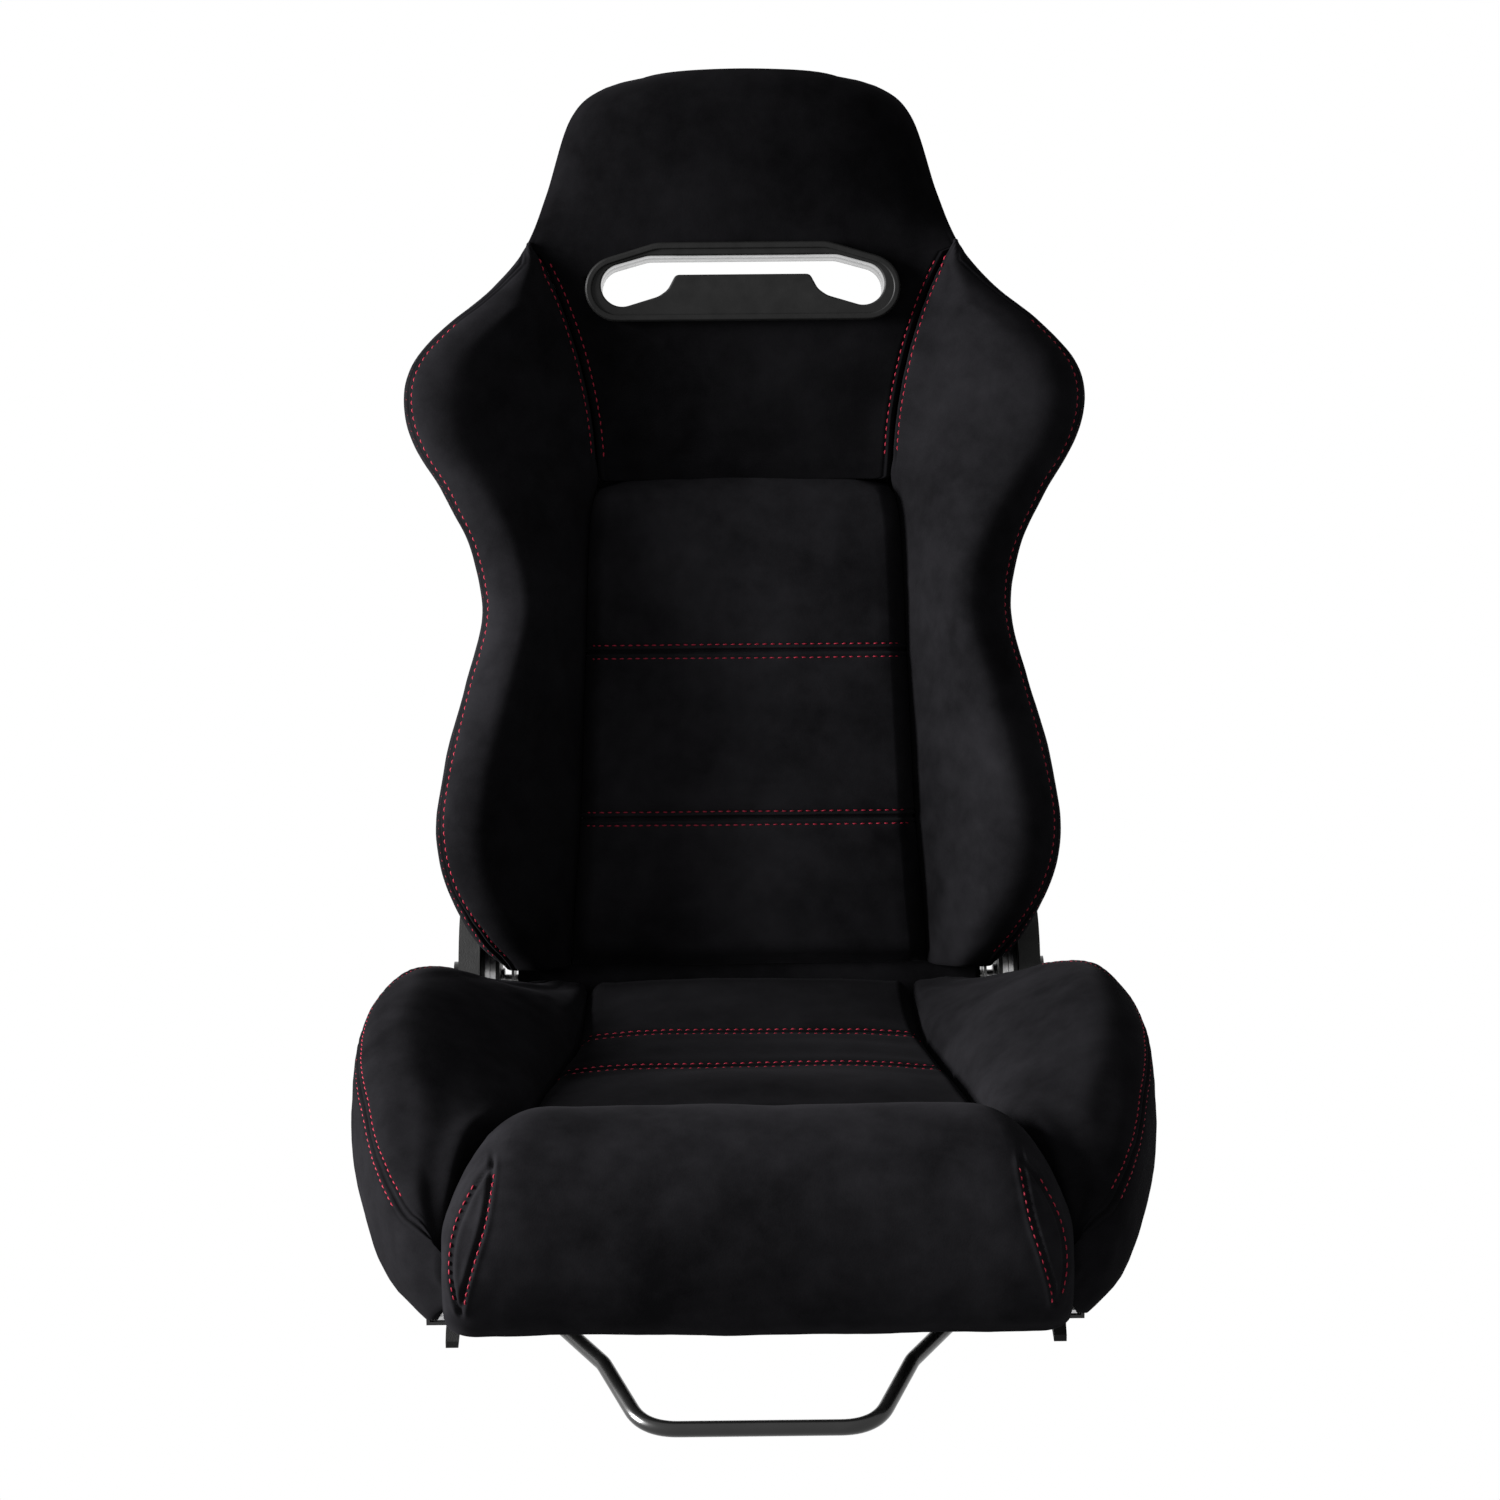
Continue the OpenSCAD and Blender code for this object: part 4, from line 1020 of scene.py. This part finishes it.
def corner_curve(a, b, c, steps):
    """Points from a to c on a short curve that leans to b."""
    return [(1 - t) ** 2 * a + 2 * t * (1 - t) * b + t**2 * c for t in np.linspace(0, 1, steps)]


def soft_corners(points, radius):
    """The closed outline with each corner rounded."""
    p = np.array(points, float)
    out = []
    for i in range(len(p)):
        a, b, c = p[i - 1], p[i], p[(i + 1) % len(p)]
        reach = min(radius, np.linalg.norm(a - b) * 0.42, np.linalg.norm(c - b) * 0.42)
        first = b + (a - b) / np.linalg.norm(a - b) * reach
        last = b + (c - b) / np.linalg.norm(c - b) * reach
        out += corner_curve(first, b, last, 5)
    return out


def bezel_outline(inset):
    """The flange's outline, as (x, z) from the middle of the slot."""
    r = BEZEL_R - inset
    right = arc(BEZEL_END, r, -90, 75) + [(65, 30 - inset)]
    return soft_corners(right + mirror_x(right), 5)


def bezel_opening(grow=0.0):
    """The opening's outline: a round lobe at each end and a step between them."""
    step = [(51, 5.3 - grow), (57, -6 - grow), (64, -11 - grow)]
    right = step + arc(LOBE, LOBE_R + grow, -101, 79) + [(72, 20 + grow)]
    return soft_corners(right + mirror_x(right), 3)


def outline_plate(name, loops, depth, bevel, material):
    """A flat plate in its own XY plane with rounded edges; loops after the first are holes."""
    data = bpy.data.curves.new(name, "CURVE")
    data.dimensions = "2D"
    data.fill_mode = "BOTH"
    for loop in loops:
        spline = data.splines.new("POLY")
        spline.points.add(len(loop) - 1)
        for point, (x, z) in zip(spline.points, loop):
            point.co = (x * MM, z * MM, 0, 1)
        spline.use_cyclic_u = True
    data.extrude = (depth / 2 - bevel) * MM
    data.bevel_depth = bevel * MM
    data.bevel_resolution = 3
    data.offset = -bevel * MM
    obj = linked(name, data)
    bpy.context.view_layer.update()
    mesh = bpy.data.meshes.new_from_object(obj.evaluated_get(bpy.context.evaluated_depsgraph_get()))
    bpy.data.objects.remove(obj)
    mesh.materials.clear()
    mesh.materials.append(material)
    return linked(name, mesh)


def shade(obj, angle=35):
    obj.data.polygons.foreach_set("use_smooth", [True] * len(obj.data.polygons))
    obj.data.set_sharp_from_angle(angle=math.radians(angle))
    return obj


def move_mesh(obj, matrix):
    obj.data.transform(matrix)
    obj.data.update()


def join(name, parts):
    """One object from several, with plain names."""
    with bpy.context.temp_override(active_object=parts[0], selected_editable_objects=parts):
        bpy.ops.object.join()
    parts[0].name = name
    return parts[0]


def on_slot(y):
    """From an outline's plane to the harness slot, with the plate's middle y behind the hinge line."""
    turn = Matrix(((1, 0, 0, 0), (0, 0, -1, 0), (0, 1, 0, 0), (0, 0, 0, 1)))
    x, yy, z = in_back(np.array([0.0, y, SLOT_Z])) * MM
    return Matrix.Translation((x, yy, z)) @ Matrix.Rotation(-TILT, 4, "X") @ turn


def slot_bezel(name, node, plate_y, plate_t, sleeve, raised):
    """Flange, raised rim and sleeve of one half of the bezel; sleeve says where it starts and stops."""
    flange = outline_plate(name, [bezel_outline(0), bezel_opening()], plate_t, 1.3, BEZEL)
    move_mesh(flange, on_slot(plate_y))
    rim = outline_plate("rim", [bezel_outline(0.6), bezel_outline(5.2)], 2.4, 1.1, BEZEL)
    move_mesh(rim, on_slot(plate_y + raised))
    tube = outline_plate("tube", [bezel_opening(2.2), bezel_opening()], sleeve[1] - sleeve[0], 0.3, SLEEVE)
    move_mesh(tube, on_slot((sleeve[0] + sleeve[1]) / 2))
    obj = shade(join(name, [flange, rim, tube]))
    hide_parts(node)
    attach(obj, "backrest")


# ---- Back shell and closing strip ----

SHELL_SPAN = (72, 682)
SHELL_WALL = 3.0
# The raised panel ends this far from the shell's sides, and at these heights
SHELL_PANEL_INSET = 26
SHELL_PANEL_SPAN = (112, 668)


def back_shell_cover():
    """The moulded shell behind the backrest, with a raised middle panel and a rolled rim."""
    rings = []
    spread = np.sin(np.linspace(-1, 1, 61) * math.pi / 2)
    for z in np.linspace(*SHELL_SPAN, 150):
        half = curve(back_outline, min(z + 12 * smooth(600, 660, z), HEAD_TOP)) - 8
        x = spread * half
        u = np.abs(spread)
        y = curve(shell_rear, z) - 10 * u**6
        rolled = head_roll(z, x / curve(back_outline, z))
        pad_rear = curve(head_depth, z) + rolled + 7 + SHELL_WALL
        if z > HEAD_ROLL[0]:
            y = np.maximum(y, pad_rear)
        from_level = np.minimum(z - SHELL_PANEL_SPAN[0], SHELL_PANEL_SPAN[1] - z)
        panel_edge = np.minimum(half * (1 - u) - SHELL_PANEL_INSET, from_level)
        y = y + 3.0 * smooth(0, 7, panel_edge) - 1.2 * bump(panel_edge - 11, 2.2)
        outer = level(np.column_stack([x, y]), z)
        inner = level(np.column_stack([x * (1 - 1.5 / half), y - SHELL_WALL]), z)
        rings.append(np.vstack([outer, inner[::-1]]))
    obj = loft("back_shell_moulding", in_back(np.array(rings)), SHELL)
    open_slot(obj, 3.5)
    shade(obj, 50)
    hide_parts("back_shell")
    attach(obj, "backrest")


def open_slot(obj, inset):
    """Cuts the harness slot through a piece of the backrest."""
    cut = outline_plate("cut", [bezel_outline(inset)], 200, 0.0, BEZEL)
    move_mesh(cut, on_slot(0))
    hole = obj.modifiers.new("slot", "BOOLEAN")
    hole.object = cut
    hole.solver = "EXACT"
    apply_modifiers(obj)
    bpy.data.objects.remove(cut)


APRON_HALF = 176
APRON_TURNS = (149.7, 256)
APRON_OUTER, APRON_INNER = 26.9, 24.6


def back_apron_cover():
    """Cloth-covered strip around the hinge line, behind the rear edge of the base cushions."""
    turns = np.radians(np.linspace(*APRON_TURNS, 26))
    rings = []
    for x in np.linspace(-APRON_HALF, APRON_HALF, 80):
        outer, inner = (
            np.column_stack([np.full(len(turns), x), radius * np.cos(turns), radius * np.sin(turns)])
            for radius in (APRON_OUTER, APRON_INNER)
        )
        outer[:, 1:] *= 1 + 0.006 * ripple(outer, (30, 12, 12), 91)[:, None]
        rings.append(np.vstack([outer, inner[::-1]]))
    obj = loft("back_apron_cover", in_back(np.array(rings)), SUEDE)
    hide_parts("back_apron")
    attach(obj, "backrest")


def closing_flaps():
    """The cover's thin flaps behind the low ends of the seams beside the back insert."""
    flaps = []
    reach, thick = 8, 1
    for side in (-1, 1):
        rings = []
        for z in np.linspace(12, 68, 14):
            middle, rear = curve(insert_half, z), curve(foam_rear, z) + 0.5
            inside, outside = middle - reach, middle + reach
            corners = [(inside, rear), (outside, rear), (outside, rear + thick), (inside, rear + thick)]
            rings.append([(side * x, y, z) for x, y in corners])
        # The flaps wear the darker suede copy: painted shade
        flaps.append(loft("closing_flaps", in_back(np.array(rings)), SUEDE_PAINTED_SHADE))
    obj = join("closing_flaps", flaps)
    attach(obj, "backrest")


# ---- Hardware ----

def tube_along(name, points, radius, material):
    """A round bar along a path in mm."""
    p = np.array(points, float)
    tangent = np.gradient(p, axis=0)
    tangent /= np.linalg.norm(tangent, axis=1, keepdims=True)
    over = np.array([0.0, 0.0, 1.0])
    rings = []
    for centre, t in zip(p, tangent):
        side = np.cross(t, over)
        side /= np.linalg.norm(side)
        up = np.cross(side, t)
        turns = np.linspace(0, 2 * math.pi, 24, endpoint=False)[:, None]
        rings.append(centre + radius * (np.cos(turns) * side + np.sin(turns) * up))
    return loft(name, rounded_ends(rings, radius * 0.4, 3), material)


def rounded_path(corners, radius):
    """The path through the corners with each corner rounded."""
    p = np.array(corners, float)
    out = [p[0]]
    for i in range(1, len(p) - 1):
        to_last, to_next = p[i - 1] - p[i], p[i + 1] - p[i]
        a_len, b_len = np.linalg.norm(to_last), np.linalg.norm(to_next)
        half = math.acos(np.clip(np.dot(to_last, to_next) / (a_len * b_len), -1, 1)) / 2
        reach = min(radius / math.tan(half), a_len * 0.45, b_len * 0.45)
        a, b = p[i] + to_last / a_len * reach, p[i] + to_next / b_len * reach
        out += corner_curve(a, p[i], b, 14)
    return out + [p[-1]]


def release_bar():
    side = [(189, -80, 21), (189, -120, 21), (146, -215, 31), (106, -294, 32), (78, -368, 20)]
    corners = side + [(-x, y, z) for x, y, z in reversed(side)]
    obj = tube_along("release_bar", rounded_path(corners, 34), 5.5, GLOSS)
    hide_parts("towel_bar")
    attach(obj, "slide_release")


def edged(node):
    """Rounds the hard edges of a CAD piece for the light to catch."""
    bevel = frame["nodes"][node].modifiers.new("edges", "BEVEL")
    bevel.width = 0.7 * MM
    bevel.segments = 2
    bevel.limit_method = "ANGLE"
    bevel.angle_limit = math.radians(38)


# ---- Camera and light ----

# The camera's place in metres, and how far it looks down, to the right and leans, in degrees
CAMERA_PLACE = (-0.034, -3.164, 1.488)
LOOK_DOWN, LOOK_RIGHT, LEAN = 19.4, 0.62, 0.35


def camera():
    data = bpy.data.cameras.new("camera")
    data.lens = 111.6
    data.sensor_width = 36
    obj = linked("camera", data)
    obj.location = CAMERA_PLACE
    pan = Matrix.Rotation(-math.radians(LOOK_RIGHT), 3, "Z")
    pitch = Matrix.Rotation(math.radians(90 - LOOK_DOWN), 3, "X")
    obj.rotation_euler = (pan @ pitch @ Matrix.Rotation(-math.radians(LEAN), 3, "Z")).to_euler()
    bpy.context.scene.camera = obj


def area_light(name, place, aim, size, watts):
    data = bpy.data.lights.new(name, "AREA")
    data.shape = "RECTANGLE"
    data.size, data.size_y = size
    data.energy = watts
    obj = linked(name, data)
    obj.location = place
    obj.rotation_euler = (Vector(aim) - Vector(place)).to_track_quat("-Z", "Y").to_euler()


def white_world(strength):
    world = bpy.data.worlds.new("white")
    world.use_nodes = True
    background = world.node_tree.nodes["Background"]
    background.inputs["Color"].default_value = (1, 1, 1, 1)
    background.inputs["Strength"].default_value = strength
    bpy.context.scene.world = world


# ---- The seat ----

def build():
    for k, side in enumerate((-1, 1)):
        back_bolster(side, 11 + 5 * k)
        seat_bolster(side, 71 + 5 * k)
    open_slot(head_cover(), 4.5)
    back_shell_cover()
    back_apron_cover()
    closing_flaps()
    back_insert_cover()
    seat_insert_cover()
    thigh_roll_cover()
    slot_bezel("bezel_front", "slot_bezel_front", plate_y=-24.5, plate_t=4.0, sleeve=(-23, 4), raised=-2.4)
    slot_bezel("bezel_rear", "slot_bezel_rear", plate_y=41.0, plate_t=3.0, sleeve=(4, 40), raised=1.9)
    release_bar()


build()
for hard in ("side_plate", "back_bracket", "recliner_cover", "recline_lever", "rail_stop"):
    for label in ("left", "right"):
        edged(f"{hard}_{label}")
camera()
white_world(1.0)
area_light("key", (-3.3, -0.45, 1.2), (0.0, 0.05, 0.45), (1.4, 1.6), 1080)
bpy.context.scene.view_settings.view_transform = "Standard"
